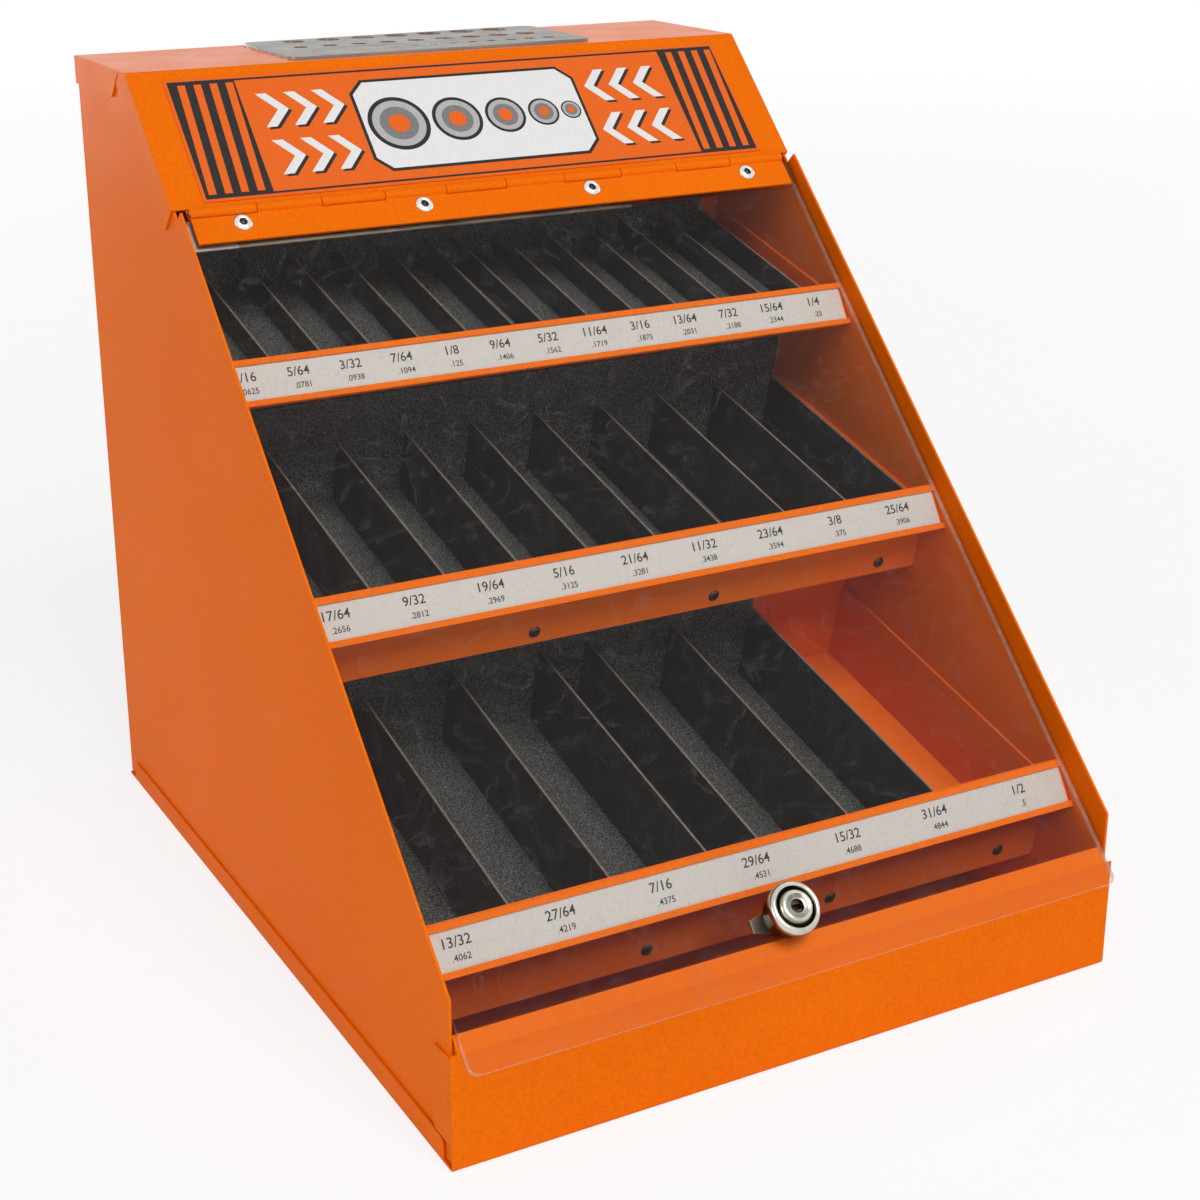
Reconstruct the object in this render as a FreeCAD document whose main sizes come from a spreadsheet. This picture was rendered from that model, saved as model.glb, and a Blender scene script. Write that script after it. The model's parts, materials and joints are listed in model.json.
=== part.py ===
import FreeCAD, Part

import math
import os

import Sketcher
from FreeCAD import Placement, Rotation, Vector

# Drill bit dispenser: a sheet-metal cabinet with a sloping clear cover, three tilted trays of bins,
# a size gauge on its roof and a sign panel above the cover.
# X runs to the right, Y to the back, Z up. The origin is the middle of the underside.
# Profiles are drawn from the front face of the front panel, and every piece is then moved
# forward by half the depth.

SIZES = (
    # Cabinet
    ("width", 304.8, "overall width, over the side flanges"),
    ("depth", 381.0, "front panel to back panel"),
    ("height", 358.0, "underside to roof"),
    ("sheet", 1.2, "steel sheet of the cabinet and trays"),
    ("slope_angle", 44.4, "slope of the front opening, degrees"),
    ("slope_length", 341.0, "sloping edge of a side panel"),
    ("front_edge_height", 69.5, "lower end of the sloping edge"),
    ("side_set_back", 2.8, "front edge of a side panel behind the front panel's face"),
    ("front_bend_height", 49.0, "top bend of the front panel"),
    ("lip_length", 7.0, "lip behind the top bend"),
    ("lip_end_gap", 0.6, "lip to side panel"),
    ("base_flange", 10.0, "height of the base's side flanges"),
    ("base_flange_inset", 8.0, "front and back ends of the base's side flanges"),
    ("front_flange_width", 16.4, "front panel's side flanges, front to back"),
    ("front_flange_start", 10.6, "lower end of the front panel's side flanges"),
    ("front_flange_drop", 2.5, "upper end of those flanges below the bend"),
    ("flange_corner", 3.0, "rounded corners of the flanges"),
    ("bend_radius", 1.8, "outer radius of the visible bends"),
    ("roof_flange", 12.5, "height of the roof's side flanges"),
    ("sign_flange", 14.0, "width of the sign panel's side flanges"),
    ("seam_past_crest", 6.4, "seam between the hood's side flanges, past the crest, along the slope"),
    ("seam_gap", 0.6, "that seam"),
    ("sign_set_back", 5.7, "sign panel's face behind the sloping edges"),
    ("sign_hinge_gap", 0.9, "sign panel's lower edge to the hinge barrel"),
    ("back_flange", 11.0, "back panel's flanges inside the side panels"),
    # Sign plate and gauge plate
    ("plate_sheet", 0.5, "sign plate"),
    ("plate_width", 275.0, "sign plate, left to right"),
    ("plate_length", 64.3, "sign plate, along the slope"),
    ("plate_margin", 2.0, "sign plate above the sign panel's lower edge"),
    ("gauge_width", 152.0, "gauge plate, left to right"),
    ("gauge_length", 66.5, "gauge plate, front to back"),
    ("gauge_sheet", 1.5, "gauge plate"),
    ("gauge_front", 311.0, "gauge plate's front edge behind the front panel's face"),
    ("gauge_across", 2.0, "gauge plate's middle right of the cabinet's middle"),
    ("gauge_corner", 6.0, "gauge plate's corners"),
    ("back_first_number", 26, "smallest hole of the back row, in 64ths of an inch"),
    ("back_hole_count", 7, "holes of the back row"),
    ("back_hole_pitch", 17.5, "holes of the back row"),
    ("back_row", 58.5, "back row behind the gauge plate's front edge"),
    ("middle_first_number", 17, "smallest hole of the middle row, in 64ths of an inch"),
    ("middle_hole_count", 9, "holes of the middle row"),
    ("middle_hole_pitch", 14.5, "holes of the middle row"),
    ("middle_row", 35.5, "middle row behind the gauge plate's front edge"),
    ("front_first_number", 4, "smallest hole of the front row, in 64ths of an inch"),
    ("front_hole_count", 13, "holes of the front row"),
    ("front_hole_pitch", 10.0, "holes of the front row"),
    ("front_row", 15.0, "front row behind the gauge plate's front edge"),
    # Continuous hinge
    ("hinge_along", 343.0, "hinge axis along the slope"),
    ("hinge_sink", 5.0, "hinge axis behind the sloping edges"),
    ("hinge_end_gap", 4.2, "hinge's ends to the side panels"),
    ("hinge_sheet", 1.1, "hinge leaves"),
    ("pin_diameter", 2.4, "hinge pin"),
    ("pin_play", 0.05, "hinge pin to knuckle, on the radius"),
    ("knuckle_pairs", 5, "knuckles of each leaf"),
    ("knuckle_gap", 0.3, "between two knuckles, and from a leaf's edge to the other's knuckles"),
    ("cover_leaf_length", 15.3, "cover leaf, from the hinge axis"),
    ("fixed_leaf_length", 15.0, "fixed leaf, from the hinge axis"),
    # Clear cover
    ("cover_sheet", 2.4, "clear cover"),
    ("cover_side_gap", 2.0, "cover to side panel"),
    ("cover_top", 3.0, "cover's upper edge below the hinge axis"),
    ("cover_overlap", 9.5, "cover's lower edge past the front panel's bend"),
    ("cover_corner", 4.0, "cover's lower corners"),
    ("cover_rest_gap", 0.3, "cover to the bend that it rests on"),
    ("strip_sheet", 1.0, "backing strip"),
    ("strip_length", 13.4, "backing strip, down the cover"),
    ("strip_cut", 88.0, "backing strip's right end short of the cover's edge"),
    ("rivet_head", 8.5, "cover rivets' heads"),
    ("rivet_head_height", 1.2, "cover rivets' heads"),
    ("rivet_shank", 3.2, "cover rivets' shanks"),
    ("rivet_pitch", 82.8, "between cover rivets"),
    ("rivet_drop", 6.7, "cover rivets below the hinge axis"),
    # Lock
    ("lock_across", -5.5, "lock axis from the cabinet's middle"),
    ("lock_drop", 344.5, "lock axis below the hinge axis"),
    ("lock_face", 21.5, "lock's bezel"),
    ("lock_bezel", 4.2, "bezel, front to back"),
    ("lock_chamfer", 1.2, "bezel's chamfer"),
    ("lock_body", 18.5, "lock's body in front of the cover"),
    ("lock_flats", 16.5, "across the flats of the body"),
    ("lock_proud", 10.7, "bezel's face in front of the cover"),
    ("lock_thread", 11.0, "threaded shank through the cover"),
    ("lock_hole_play", 0.1, "shank to the hole in the cover, on the radius"),
    ("lock_nut_flats", 13.2, "nut, across its flats"),
    ("lock_nut_height", 2.5, "nut"),
    ("plug_head", 11.0, "plug's face"),
    ("plug_head_length", 4.5, "plug's head, front to back"),
    ("plug_recess", 1.2, "plug's face behind the bezel's"),
    ("plug_stem", 6.0, "plug's stem"),
    ("plug_play", 0.06, "plug to its bore, on the radius"),
    ("key_slot_width", 2.2, "key slot"),
    ("key_slot_length", 7.0, "key slot"),
    ("key_slot_depth", 3.4, "key slot"),
    ("cam_sheet", 1.5, "cam"),
    ("cam_gap", 0.4, "cam to the end of the shank"),
    ("cam_reach", 12.5, "lock axis to the cam's tip"),
    ("cam_width", 9.0, "cam"),
    ("cam_tip", 5.4, "cam's flat tip, and the flats between its cut corners"),
    ("cam_square", 4.0, "plug's square end, which carries the cam"),
    ("cam_screw_head", 6.6, "head of the screw that holds the cam"),
    ("cam_screw_height", 1.6, "head of the screw that holds the cam"),
    ("cam_screw_shank", 2.5, "screw that holds the cam"),
    ("cam_screw_length", 5.0, "screw that holds the cam, below its head"),
    # Trays
    ("tray_tilt", 14.0, "slope of the tray floors, degrees"),
    ("tray_side_gap", 0.2, "tray to side panel"),
    ("rim_gap", 2.0, "tray rims behind the cover"),
    ("rim_drop", 3.0, "front end of an end wall below the rim"),
    ("rim_run", 12.0, "sloping front of an end wall"),
    ("label_flange", 20.0, "label flange"),
    ("label_fold", 46.0, "label flange to the front wall, degrees"),
    ("label_lip", 2.6, "folded lips that hold a label"),
    ("label_lip_sheet", 0.8, "folded lips"),
    ("label_slot", 0.7, "slot behind the lips"),
    ("label_sheet", 0.4, "label strip"),
    ("label_play", 0.2, "label strip in its slot"),
    ("label_end_gap", 1.2, "label strip's ends to the tray's"),
    ("liner_sheet", 1.0, "liner"),
    ("liner_upstand", 14.0, "liner's front edge above the floor"),
    ("divider_sheet", 1.2, "dividers"),
    ("divider_corner", 4.0, "dividers' upper front corners"),
    ("stud_head", 5.6, "rivets through the front walls"),
    ("stud_head_height", 1.0, "rivets through the front walls"),
    ("stud_shank", 3.0, "rivets through the front walls"),
    ("stud_pitch", 87.5, "between those rivets"),
    ("stud_across", 42.0, "middle rivet from the cabinet's middle"),
    ("upper_drop", 68.9, "upper rim below the hinge axis"),
    ("upper_wall", 20.6, "upper tray's front wall"),
    ("upper_end", 14.2, "upper tray's end walls above its floor"),
    ("upper_back_rise", 5.0, "upper tray's back wall above its dividers"),
    ("upper_floor", 108.0, "upper tray, front to back"),
    ("upper_left_count", 6, "dividers set out from the left"),
    ("upper_right_count", 7, "dividers set out from the right"),
    ("upper_odd_bin", 14.4, "bin between the two sets of dividers"),
    ("upper_right_gap", 10.4, "last divider to the right end wall"),
    ("middle_drop", 177.6, "middle rim below the hinge axis"),
    ("middle_wall", 42.3, "middle tray's front wall"),
    ("middle_end", 32.5, "middle tray's end walls above its floor"),
    ("middle_back_rise", 21.5, "middle tray's back wall above its dividers"),
    ("middle_floor", 130.0, "middle tray, front to back"),
    ("middle_left_count", 8, "dividers set out from the left"),
    ("middle_right_count", 1, "dividers set out from the right"),
    ("middle_odd_bin", 32.4, "bin between the two sets of dividers"),
    ("middle_right_gap", 0.8, "last divider to the right end wall"),
    ("middle_stud_height", 5.6, "rivets above the floor"),
    ("lower_drop", 312.4, "lower rim below the hinge axis"),
    ("lower_wall", 51.3, "lower tray's front wall"),
    ("lower_end", 40.2, "lower tray's end walls above its floor"),
    ("lower_back_rise", 6.0, "lower tray's back wall above its dividers"),
    ("lower_floor", 160.0, "lower tray, front to back"),
    ("lower_left_count", 3, "dividers set out from the left"),
    ("lower_right_count", 3, "dividers set out from the right"),
    ("lower_odd_bin", 24.2, "bin between the two sets of dividers"),
    ("lower_right_gap", 52.7, "last divider to the right end wall"),
    ("lower_stud_height", 7.8, "rivets above the floor"),
)

# Drill sizes step by a 64th of an inch.
SIZE_STEP = 25.4 / 64

# A point this near to a place, in millimetres, is at that place.
CLOSE = 0.01

# The flat top of a rivet's head, as a share of the head's diameter, on the radius.
RIVET_CROWN = 0.3
TRAYS = ("upper", "middle", "lower")
RIVETED_TRAYS = ("middle", "lower")
X_AXIS = Vector(1, 0, 0)

doc = FreeCAD.newDocument("bit_dispenser")
sheet = doc.addObject("Spreadsheet::Sheet", "Size")
for row, (alias, number, meaning) in enumerate(SIZES, start=1):
    sheet.set(f"A{row}", meaning)
    sheet.set(f"B{row}", str(number))
    sheet.setAlias(f"B{row}", alias)
doc.recompute()

pieces = []


def value(expression):
    """The number that an expression over the sheet gives."""
    result = sheet.evalExpression(expression)
    return float(getattr(result, "Value", result))


# Expressions that several pieces share

COS = "cos(Size.slope_angle * 1 deg)"
SIN = "sin(Size.slope_angle * 1 deg)"
HALF = "Size.width / 2"
INNER = "(Size.width / 2 - 2 * Size.sheet)"
PIN_BORE = "(Size.pin_diameter / 2 + Size.pin_play)"
BARREL = f"({PIN_BORE} + Size.hinge_sheet)"
LEAF_FACE = "(Size.hinge_sheet / 2)"
COVER_FACE = "(-Size.hinge_sheet / 2)"
COVER_BACK = f"({COVER_FACE} - Size.cover_sheet)"
SIGN_START = f"(Size.hinge_along + {BARREL} + Size.sign_hinge_gap)"
TRAY_HALF = f"({INNER} - Size.tray_side_gap)"


def on_slope(along, out):
    """Y and Z of a point, along the sloping edge and out from it, both as expressions."""
    back = f"Size.side_set_back + ({along}) * {COS} - ({out}) * {SIN}"
    up = f"Size.front_edge_height + ({along}) * {SIN} + ({out}) * {COS}"
    return back, up


def on_line_out(out, level):
    """Y and Z where the line at a distance out from the slope reaches a level."""
    along = f"(({level}) - Size.front_edge_height - ({out}) * {COS}) / {SIN}"
    return on_slope(along, out)


def on_square_line(along, level):
    """Y and Z where the line square to the slope, at a distance along it, reaches a level."""
    out = f"(({level}) - Size.front_edge_height - ({along}) * {SIN}) / {COS}"
    return on_slope(along, out)


# Helpers for bodies


def new_body(name, part=True):
    body = doc.addObject("PartDesign::Body", name)
    body.Label = name
    if part:
        pieces.append(body)
    return body


def new_sketch(body, name, plane, offset="0"):
    sketch = body.newObject("Sketcher::SketchObject", f"{body.Name}_{name}")
    sketch.AttachmentSupport = [
        (next(f for f in body.Origin.OriginFeatures if f.Role == f"{plane}_Plane"), "")
    ]
    sketch.MapMode = "FlatFace"
    sketch.setExpression("AttachmentOffset.Base.z", offset)
    return sketch


def bind(sketch, kind, geometry, point, expression):
    """Hold a coordinate of a sketch point at an expression."""
    number = sketch.addConstraint(
        Sketcher.Constraint(kind, -1, 1, geometry, point, value(expression))
    )
    sketch.setExpression(f"Constraints[{number}]", expression)


def polygon(sketch, corners):
    """A closed outline through corners, each a pair of expressions."""
    first = sketch.GeometryCount
    places = [Vector(value(a), value(b), 0) for a, b in corners]
    for start, end in zip(places, places[1:] + places[:1]):
        sketch.addGeometry(Part.LineSegment(start, end), False)
    for number, (a, b) in enumerate(corners):
        before = first + (number - 1) % len(corners)
        sketch.addConstraint(Sketcher.Constraint("Coincident", before, 2, first + number, 1))
        bind(sketch, "DistanceX", first + number, 1, a)
        bind(sketch, "DistanceY", first + number, 1, b)


def circle(sketch, a, b, diameter):
    """A full circle, its centre and diameter given as expressions."""
    shape = Part.Circle(Vector(value(a), value(b), 0), Vector(0, 0, 1), value(diameter) / 2)
    number = sketch.addGeometry(shape, False)
    bind(sketch, "DistanceX", number, 3, a)
    bind(sketch, "DistanceY", number, 3, b)
    held = sketch.addConstraint(Sketcher.Constraint("Diameter", number, value(diameter)))
    sketch.setExpression(f"Constraints[{held}]", diameter)


def rectangle(left, right, low, high):
    return [(left, low), (right, low), (right, high), (left, high)]


def pad(body, sketch, length, both_ways=False):
    feature = body.newObject("PartDesign::Pad", f"{sketch.Name}_pad")
    feature.Profile = sketch
    feature.SideType = "Symmetric" if both_ways else "One side"
    feature.setExpression("Length", length)
    return feature


def cut_through(body, sketch):
    feature = body.newObject("PartDesign::Pocket", f"{sketch.Name}_cut")
    feature.Profile = sketch
    feature.SideType = "Symmetric"
    feature.Type = "ThroughAll"
    return feature


def revolve(body, sketch):
    feature = body.newObject("PartDesign::Revolution", f"{sketch.Name}_turned")
    feature.Profile = sketch
    feature.ReferenceAxis = (sketch, ["V_Axis"])
    feature.Angle = 360
    return feature


def round_edges(body, base, radius, chosen):
    """Round the edges of a feature that a test picks out."""
    doc.recompute()
    names = [f"Edge{n}" for n, edge in enumerate(base.Shape.Edges, start=1) if chosen(edge)]
    feature = body.newObject("PartDesign::Fillet", f"{base.Name}_rounded")
    feature.Base = (base, names)
    feature.setExpression("Radius", radius)
    return feature


def is_along(edge, direction):
    if not isinstance(edge.Curve, Part.Line):
        return False
    return edge.tangentAt(edge.FirstParameter).cross(direction).Length < CLOSE


def middle_of(edge):
    return edge.valueAt((edge.FirstParameter + edge.LastParameter) / 2)


def group(name, solids):
    """Equal pieces kept together as one piece of several solids."""
    feature = doc.addObject("Part::Feature", name)
    feature.Label = name
    feature.Shape = Part.Compound(solids)
    pieces.append(feature)
    return feature


def copies(shape, placements):
    return [shape.transformed(place.toMatrix(), True) for place in placements]


# Places

FRONT = Vector(0, -value("Size.depth") / 2, 0)
slope = Rotation(X_AXIS, value("Size.slope_angle"))


def cabinet_point(pair):
    return FRONT + Vector(0, value(pair[0]), value(pair[1]))


hinge_point = cabinet_point(on_slope("Size.hinge_along", "-Size.hinge_sink"))
bend_point = cabinet_point(("0", "Size.front_bend_height"))

# The cover hangs from the hinge axis, and its back face passes just clear of the front bend.
reach = hinge_point - bend_point
rest_offset = value(f"Size.cover_rest_gap - {COVER_BACK}")
cover_angle = math.degrees(
    math.atan2(reach.z, reach.y) - math.asin(rest_offset / reach.Length)
)
cover_reach = math.sqrt(reach.Length**2 - rest_offset**2)
cover_turn = Rotation(X_AXIS, cover_angle)
on_cover = Placement(hinge_point, cover_turn)


def cover_place(across, drop, out):
    """A place on the cover: right of the middle, below the hinge axis and out from it."""
    return on_cover.multiply(Placement(Vector(across, -drop, out), Rotation()))


def tray_place(tray):
    """The rim of a tray, tilted with its floor."""
    rim_out = value(f"{COVER_BACK} - Size.rim_gap")
    rim = on_cover.multVec(Vector(0, -value(f"Size.{tray}_drop"), rim_out))
    return Placement(rim, Rotation(X_AXIS, value("Size.tray_tilt")))


def set_at_front(piece):
    piece.setExpression("Placement.Base.y", "-Size.depth / 2")


# Side panels

side_outline = [
    ("Size.side_set_back", "Size.sheet"),
    ("Size.side_set_back", "Size.front_edge_height"),
    on_slope("Size.slope_length", "0"),
    on_slope("Size.slope_length", "-Size.sign_set_back - Size.sheet"),
    on_line_out("-Size.sign_set_back - Size.sheet", "Size.height - Size.sheet"),
    ("Size.depth - Size.sheet", "Size.height - Size.sheet"),
    ("Size.depth - Size.sheet", "Size.sheet"),
]
for name, inner_face in (
    ("left_side_panel", f"-{HALF} + Size.sheet"),
    ("right_side_panel", INNER),
):
    side = new_body(name)
    outline = new_sketch(side, "outline", "YZ", inner_face)
    polygon(outline, side_outline)
    pad(side, outline, "Size.sheet")
    set_at_front(side)

# Base: bottom, front panel, lip under the cover and flanges over the side panels

base = new_body("base_pan")
section = new_sketch(base, "section", "YZ")
polygon(
    section,
    [
        ("0", "0"),
        ("Size.depth - Size.sheet", "0"),
        ("Size.depth - Size.sheet", "Size.sheet"),
        ("Size.sheet", "Size.sheet"),
        ("Size.sheet", "Size.front_bend_height - Size.sheet"),
        ("0", "Size.front_bend_height"),
    ],
)
base_shell = pad(base, section, "Size.width", both_ways=True)
round_edges(
    base,
    base_shell,
    "Size.bend_radius",
    lambda edge: is_along(edge, X_AXIS) and middle_of(edge).Length < CLOSE,
)
lip_cos = f"{math.cos(math.radians(cover_angle)):.9f}"
lip_sin = f"{math.sin(math.radians(cover_angle)):.9f}"
lip = new_sketch(base, "lip", "YZ")
polygon(
    lip,
    [
        ("0", "Size.front_bend_height"),
        (f"Size.lip_length * {lip_cos}", f"Size.front_bend_height + Size.lip_length * {lip_sin}"),
        (
            f"Size.lip_length * {lip_cos} + Size.sheet * {lip_sin}",
            f"Size.front_bend_height + Size.lip_length * {lip_sin} - Size.sheet * {lip_cos}",
        ),
        ("Size.sheet", "Size.front_bend_height - 2 * Size.sheet"),
        ("0", "Size.front_bend_height - 2 * Size.sheet"),
    ],
)
pad(base, lip, f"2 * {INNER} - 2 * Size.lip_end_gap", both_ways=True)
for side, offset in (("left", f"-{HALF}"), ("right", f"{HALF} - Size.sheet")):
    flange = new_sketch(base, f"{side}_flange", "YZ", offset)
    polygon(
        flange,
        rectangle(
            "Size.base_flange_inset",
            "Size.depth - Size.base_flange_inset - Size.sheet",
            "0",
            "Size.base_flange",
        ),
    )
    pad(base, flange, "Size.sheet")
    front_flange = new_sketch(base, f"{side}_front_flange", "YZ", offset)
    polygon(
        front_flange,
        rectangle(
            "0",
            "Size.front_flange_width",
            "Size.front_flange_start",
            "Size.front_bend_height - Size.front_flange_drop",
        ),
    )
    last = pad(base, front_flange, "Size.sheet")


def is_flange_corner(edge):
    """The free upper corners of the base's flanges."""
    here = middle_of(edge)
    ends = (value("Size.base_flange_inset"), value("Size.depth - Size.base_flange_inset - Size.sheet"))
    low = abs(here.z - value("Size.base_flange")) < CLOSE and min(abs(here.y - y) for y in ends) < CLOSE
    high = (
        abs(here.y - value("Size.front_flange_width")) < CLOSE
        and here.z > value("Size.front_flange_start") - CLOSE
    )
    return is_along(edge, X_AXIS) and (low or high)


round_edges(base, last, "Size.flange_corner", is_flange_corner)
set_at_front(base)

# Back panel: a plate with flanges inside the side panels

back = new_body("back_panel")
channel = new_sketch(back, "channel", "XY", "Size.sheet")
back_face = "Size.depth"
flange_front = "Size.depth - Size.back_flange"
polygon(
    channel,
    [
        (f"-{HALF} + Size.sheet", back_face),
        (f"-{HALF} + Size.sheet", "Size.depth - Size.sheet"),
        (f"-{INNER}", "Size.depth - Size.sheet"),
        (f"-{INNER}", flange_front),
        (f"-{INNER} + Size.sheet", flange_front),
        (f"-{INNER} + Size.sheet", "Size.depth - Size.sheet"),
        (f"{INNER} - Size.sheet", "Size.depth - Size.sheet"),
        (f"{INNER} - Size.sheet", flange_front),
        (INNER, flange_front),
        (INNER, "Size.depth - Size.sheet"),
        (f"{HALF} - Size.sheet", "Size.depth - Size.sheet"),
        (f"{HALF} - Size.sheet", back_face),
    ],
)
pad(back, channel, "Size.height - 2 * Size.sheet")
set_at_front(back)

# Hood: roof and sign panel in one sheet, with flanges over the side panels

hood = new_body("hood")
section = new_sketch(hood, "section", "YZ")
sign_face = "-Size.sign_set_back"
sign_back = "-Size.sign_set_back - Size.sheet"
polygon(
    section,
    [
        on_slope(SIGN_START, sign_face),
        on_line_out(sign_face, "Size.height"),
        ("Size.depth", "Size.height"),
        ("Size.depth", "Size.height - Size.sheet"),
        on_line_out(sign_back, "Size.height - Size.sheet"),
        on_slope(SIGN_START, sign_back),
    ],
)
hood_shell = pad(hood, section, "Size.width", both_ways=True)
crest = Vector(0, *(value(e) for e in on_line_out(sign_face, "Size.height")))
round_edges(
    hood,
    hood_shell,
    "Size.bend_radius",
    lambda edge: is_along(edge, X_AXIS) and (middle_of(edge) - crest).Length < CLOSE,
)
flange_out = "-Size.sign_set_back - Size.sign_flange"
sign_top = f"(Size.height - Size.front_edge_height - ({sign_face}) * {COS}) / {SIN}"
seam = f"({sign_top} + Size.seam_past_crest)"
seam_front = f"({seam} - Size.seam_gap)"
for side, offset in (("left", f"-{HALF}"), ("right", f"{HALF} - Size.sheet")):
    sign_side = new_sketch(hood, f"{side}_sign_flange", "YZ", offset)
    polygon(
        sign_side,
        [
            on_slope(SIGN_START, sign_back),
            on_line_out(sign_back, "Size.height - Size.sheet"),
            on_square_line(seam_front, "Size.height - Size.sheet"),
            on_slope(seam_front, flange_out),
            on_slope(SIGN_START, flange_out),
        ],
    )
    pad(hood, sign_side, "Size.sheet")
    roof_side = new_sketch(hood, f"{side}_roof_flange", "YZ", offset)
    polygon(
        roof_side,
        [
            on_square_line(seam, "Size.height - Size.sheet"),
            ("Size.depth", "Size.height - Size.sheet"),
            ("Size.depth", "Size.height - Size.roof_flange"),
            on_square_line(seam, "Size.height - Size.roof_flange"),
        ],
    )
    last = pad(hood, roof_side, "Size.sheet")
flange_tip = on_square_line(seam, "Size.height - Size.roof_flange")


def is_hood_corner(edge):
    """The free lower corners of the roof's side flanges, at the front."""
    here = middle_of(edge)
    away = max(abs(here.y - value(flange_tip[0])), abs(here.z - value(flange_tip[1])))
    return is_along(edge, X_AXIS) and away < CLOSE


round_edges(hood, last, "Size.flange_corner", is_hood_corner)
set_at_front(hood)

# Sign plate, flat on the sign panel

sign = new_body("sign_plate")
outline = new_sketch(sign, "outline", "XY")
polygon(
    outline,
    rectangle("-Size.plate_width / 2", "Size.plate_width / 2", "0", "Size.plate_length"),
)
pad(sign, outline, "Size.plate_sheet")
sign.Placement = Placement(
    cabinet_point(on_slope(f"{SIGN_START} + Size.plate_margin", sign_face)), slope
)

# Gauge plate: every drill size of the three trays as a hole

gauge = new_body("gauge_plate")
outline = new_sketch(gauge, "outline", "XY")
polygon(
    outline,
    rectangle("-Size.gauge_width / 2", "Size.gauge_width / 2", "0", "Size.gauge_length"),
)
plate = pad(gauge, outline, "Size.gauge_sheet")
round_edges(gauge, plate, "Size.gauge_corner", lambda edge: is_along(edge, Vector(0, 0, 1)))
holes = new_sketch(gauge, "holes", "XY")
for line in ("back", "middle", "front"):
    count = round(value(f"Size.{line}_hole_count"))
    for number in range(count):
        across = f"{number - (count - 1) / 2} * Size.{line}_hole_pitch"
        circle(
            holes,
            across,
            f"Size.{line}_row",
            f"(Size.{line}_first_number + {number}) * {SIZE_STEP}",
        )
cut_through(gauge, holes)
gauge.setExpression("Placement.Base.x", "Size.gauge_across")
gauge.setExpression("Placement.Base.y", "Size.gauge_front - Size.depth / 2")
gauge.setExpression("Placement.Base.z", "Size.height")

# Continuous hinge: two leaves whose knuckles take turns along one pin

HINGE_LONG = f"(2 * {INNER} - 2 * Size.hinge_end_gap)"
KNUCKLE = f"({HINGE_LONG} / (2 * Size.knuckle_pairs))"


def hinge_leaf(name, first, low, high, edge, tip):
    """A leaf along X, its knuckles round the axis; first shifts them by a knuckle."""
    body = new_body(name)
    leaf = new_sketch(body, "leaf", "YZ")
    polygon(leaf, rectangle(edge, tip, low, high))
    pad(body, leaf, HINGE_LONG, both_ways=True)
    start = f"-{HINGE_LONG} / 2 + {first} * {KNUCKLE} + Size.knuckle_gap / 2"
    long = f"{KNUCKLE} - Size.knuckle_gap"
    tab = new_sketch(body, "tab", "YZ", start)
    polygon(tab, rectangle("0", edge, low, high))
    tab_pad = pad(body, tab, long)
    barrel = new_sketch(body, "barrel", "YZ", start)
    circle(barrel, "0", "0", f"2 * {BARREL}")
    barrel_pad = pad(body, barrel, long)
    row = body.newObject("PartDesign::LinearPattern", f"{name}_knuckles")
    row.Originals = [tab_pad, barrel_pad]
    row.Direction = (tab, ["N_Axis"])
    row.setExpression("Occurrences", "Size.knuckle_pairs")
    row.setExpression("Length", f"{HINGE_LONG} - 2 * {KNUCKLE}")
    body.Tip = row
    bore = new_sketch(body, "bore", "YZ")
    circle(bore, "0", "0", f"2 * {PIN_BORE}")
    body.Tip = cut_through(body, bore)
    return body


fixed_face = "(Size.hinge_sink - Size.sign_set_back - Size.sheet)"
fixed_leaf = hinge_leaf(
    "hinge_fixed_leaf",
    "0",
    f"{fixed_face} - Size.hinge_sheet",
    fixed_face,
    f"({BARREL} + Size.knuckle_gap)",
    "Size.fixed_leaf_length",
)
fixed_leaf.Placement = Placement(hinge_point, slope)
cover_leaf = hinge_leaf(
    "hinge_cover_leaf",
    "1",
    COVER_FACE,
    LEAF_FACE,
    f"-({BARREL} + Size.knuckle_gap)",
    "-Size.cover_leaf_length",
)
cover_leaf.Placement = on_cover

pin = new_body("hinge_pin")
rod = new_sketch(pin, "rod", "YZ")
circle(rod, "0", "0", "Size.pin_diameter")
pad(pin, rod, HINGE_LONG, both_ways=True)
pin.Placement = Placement(hinge_point, slope)

# Clear cover, with holes for its rivets and its lock

COVER_LONG = f"({cover_reach:.9f} + Size.cover_overlap)"
COVER_HALF = f"({INNER} - Size.cover_side_gap)"
cover = new_body("clear_cover")
outline = new_sketch(cover, "outline", "XY", COVER_BACK)
polygon(outline, rectangle(f"-{COVER_HALF}", COVER_HALF, f"-{COVER_LONG}", "-Size.cover_top"))
plate = pad(cover, outline, "Size.cover_sheet")
round_edges(
    cover,
    plate,
    "Size.cover_corner",
    lambda edge: is_along(edge, Vector(0, 0, 1)) and middle_of(edge).y < -value("Size.lock_drop"),
)
RIVETS = [f"{n} * Size.rivet_pitch" for n in (-1.5, -0.5, 0.5, 1.5)]
STRIP_RIVETS = RIVETS[:3]
holes = new_sketch(cover, "holes", "XY", COVER_BACK)
for across in RIVETS:
    circle(holes, across, "-Size.rivet_drop", "Size.rivet_shank")
circle(
    holes,
    "Size.lock_across",
    "-Size.lock_drop",
    "Size.lock_thread + 2 * Size.lock_hole_play",
)
cut_through(cover, holes)
cover.Placement = on_cover

leaf_holes = new_sketch(cover_leaf, "rivet_holes", "XY")
for across in RIVETS:
    circle(leaf_holes, across, "-Size.rivet_drop", "Size.rivet_shank")
cover_leaf.Tip = cut_through(cover_leaf, leaf_holes)

# Backing strip under the cover, which the rivets pull against

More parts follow.
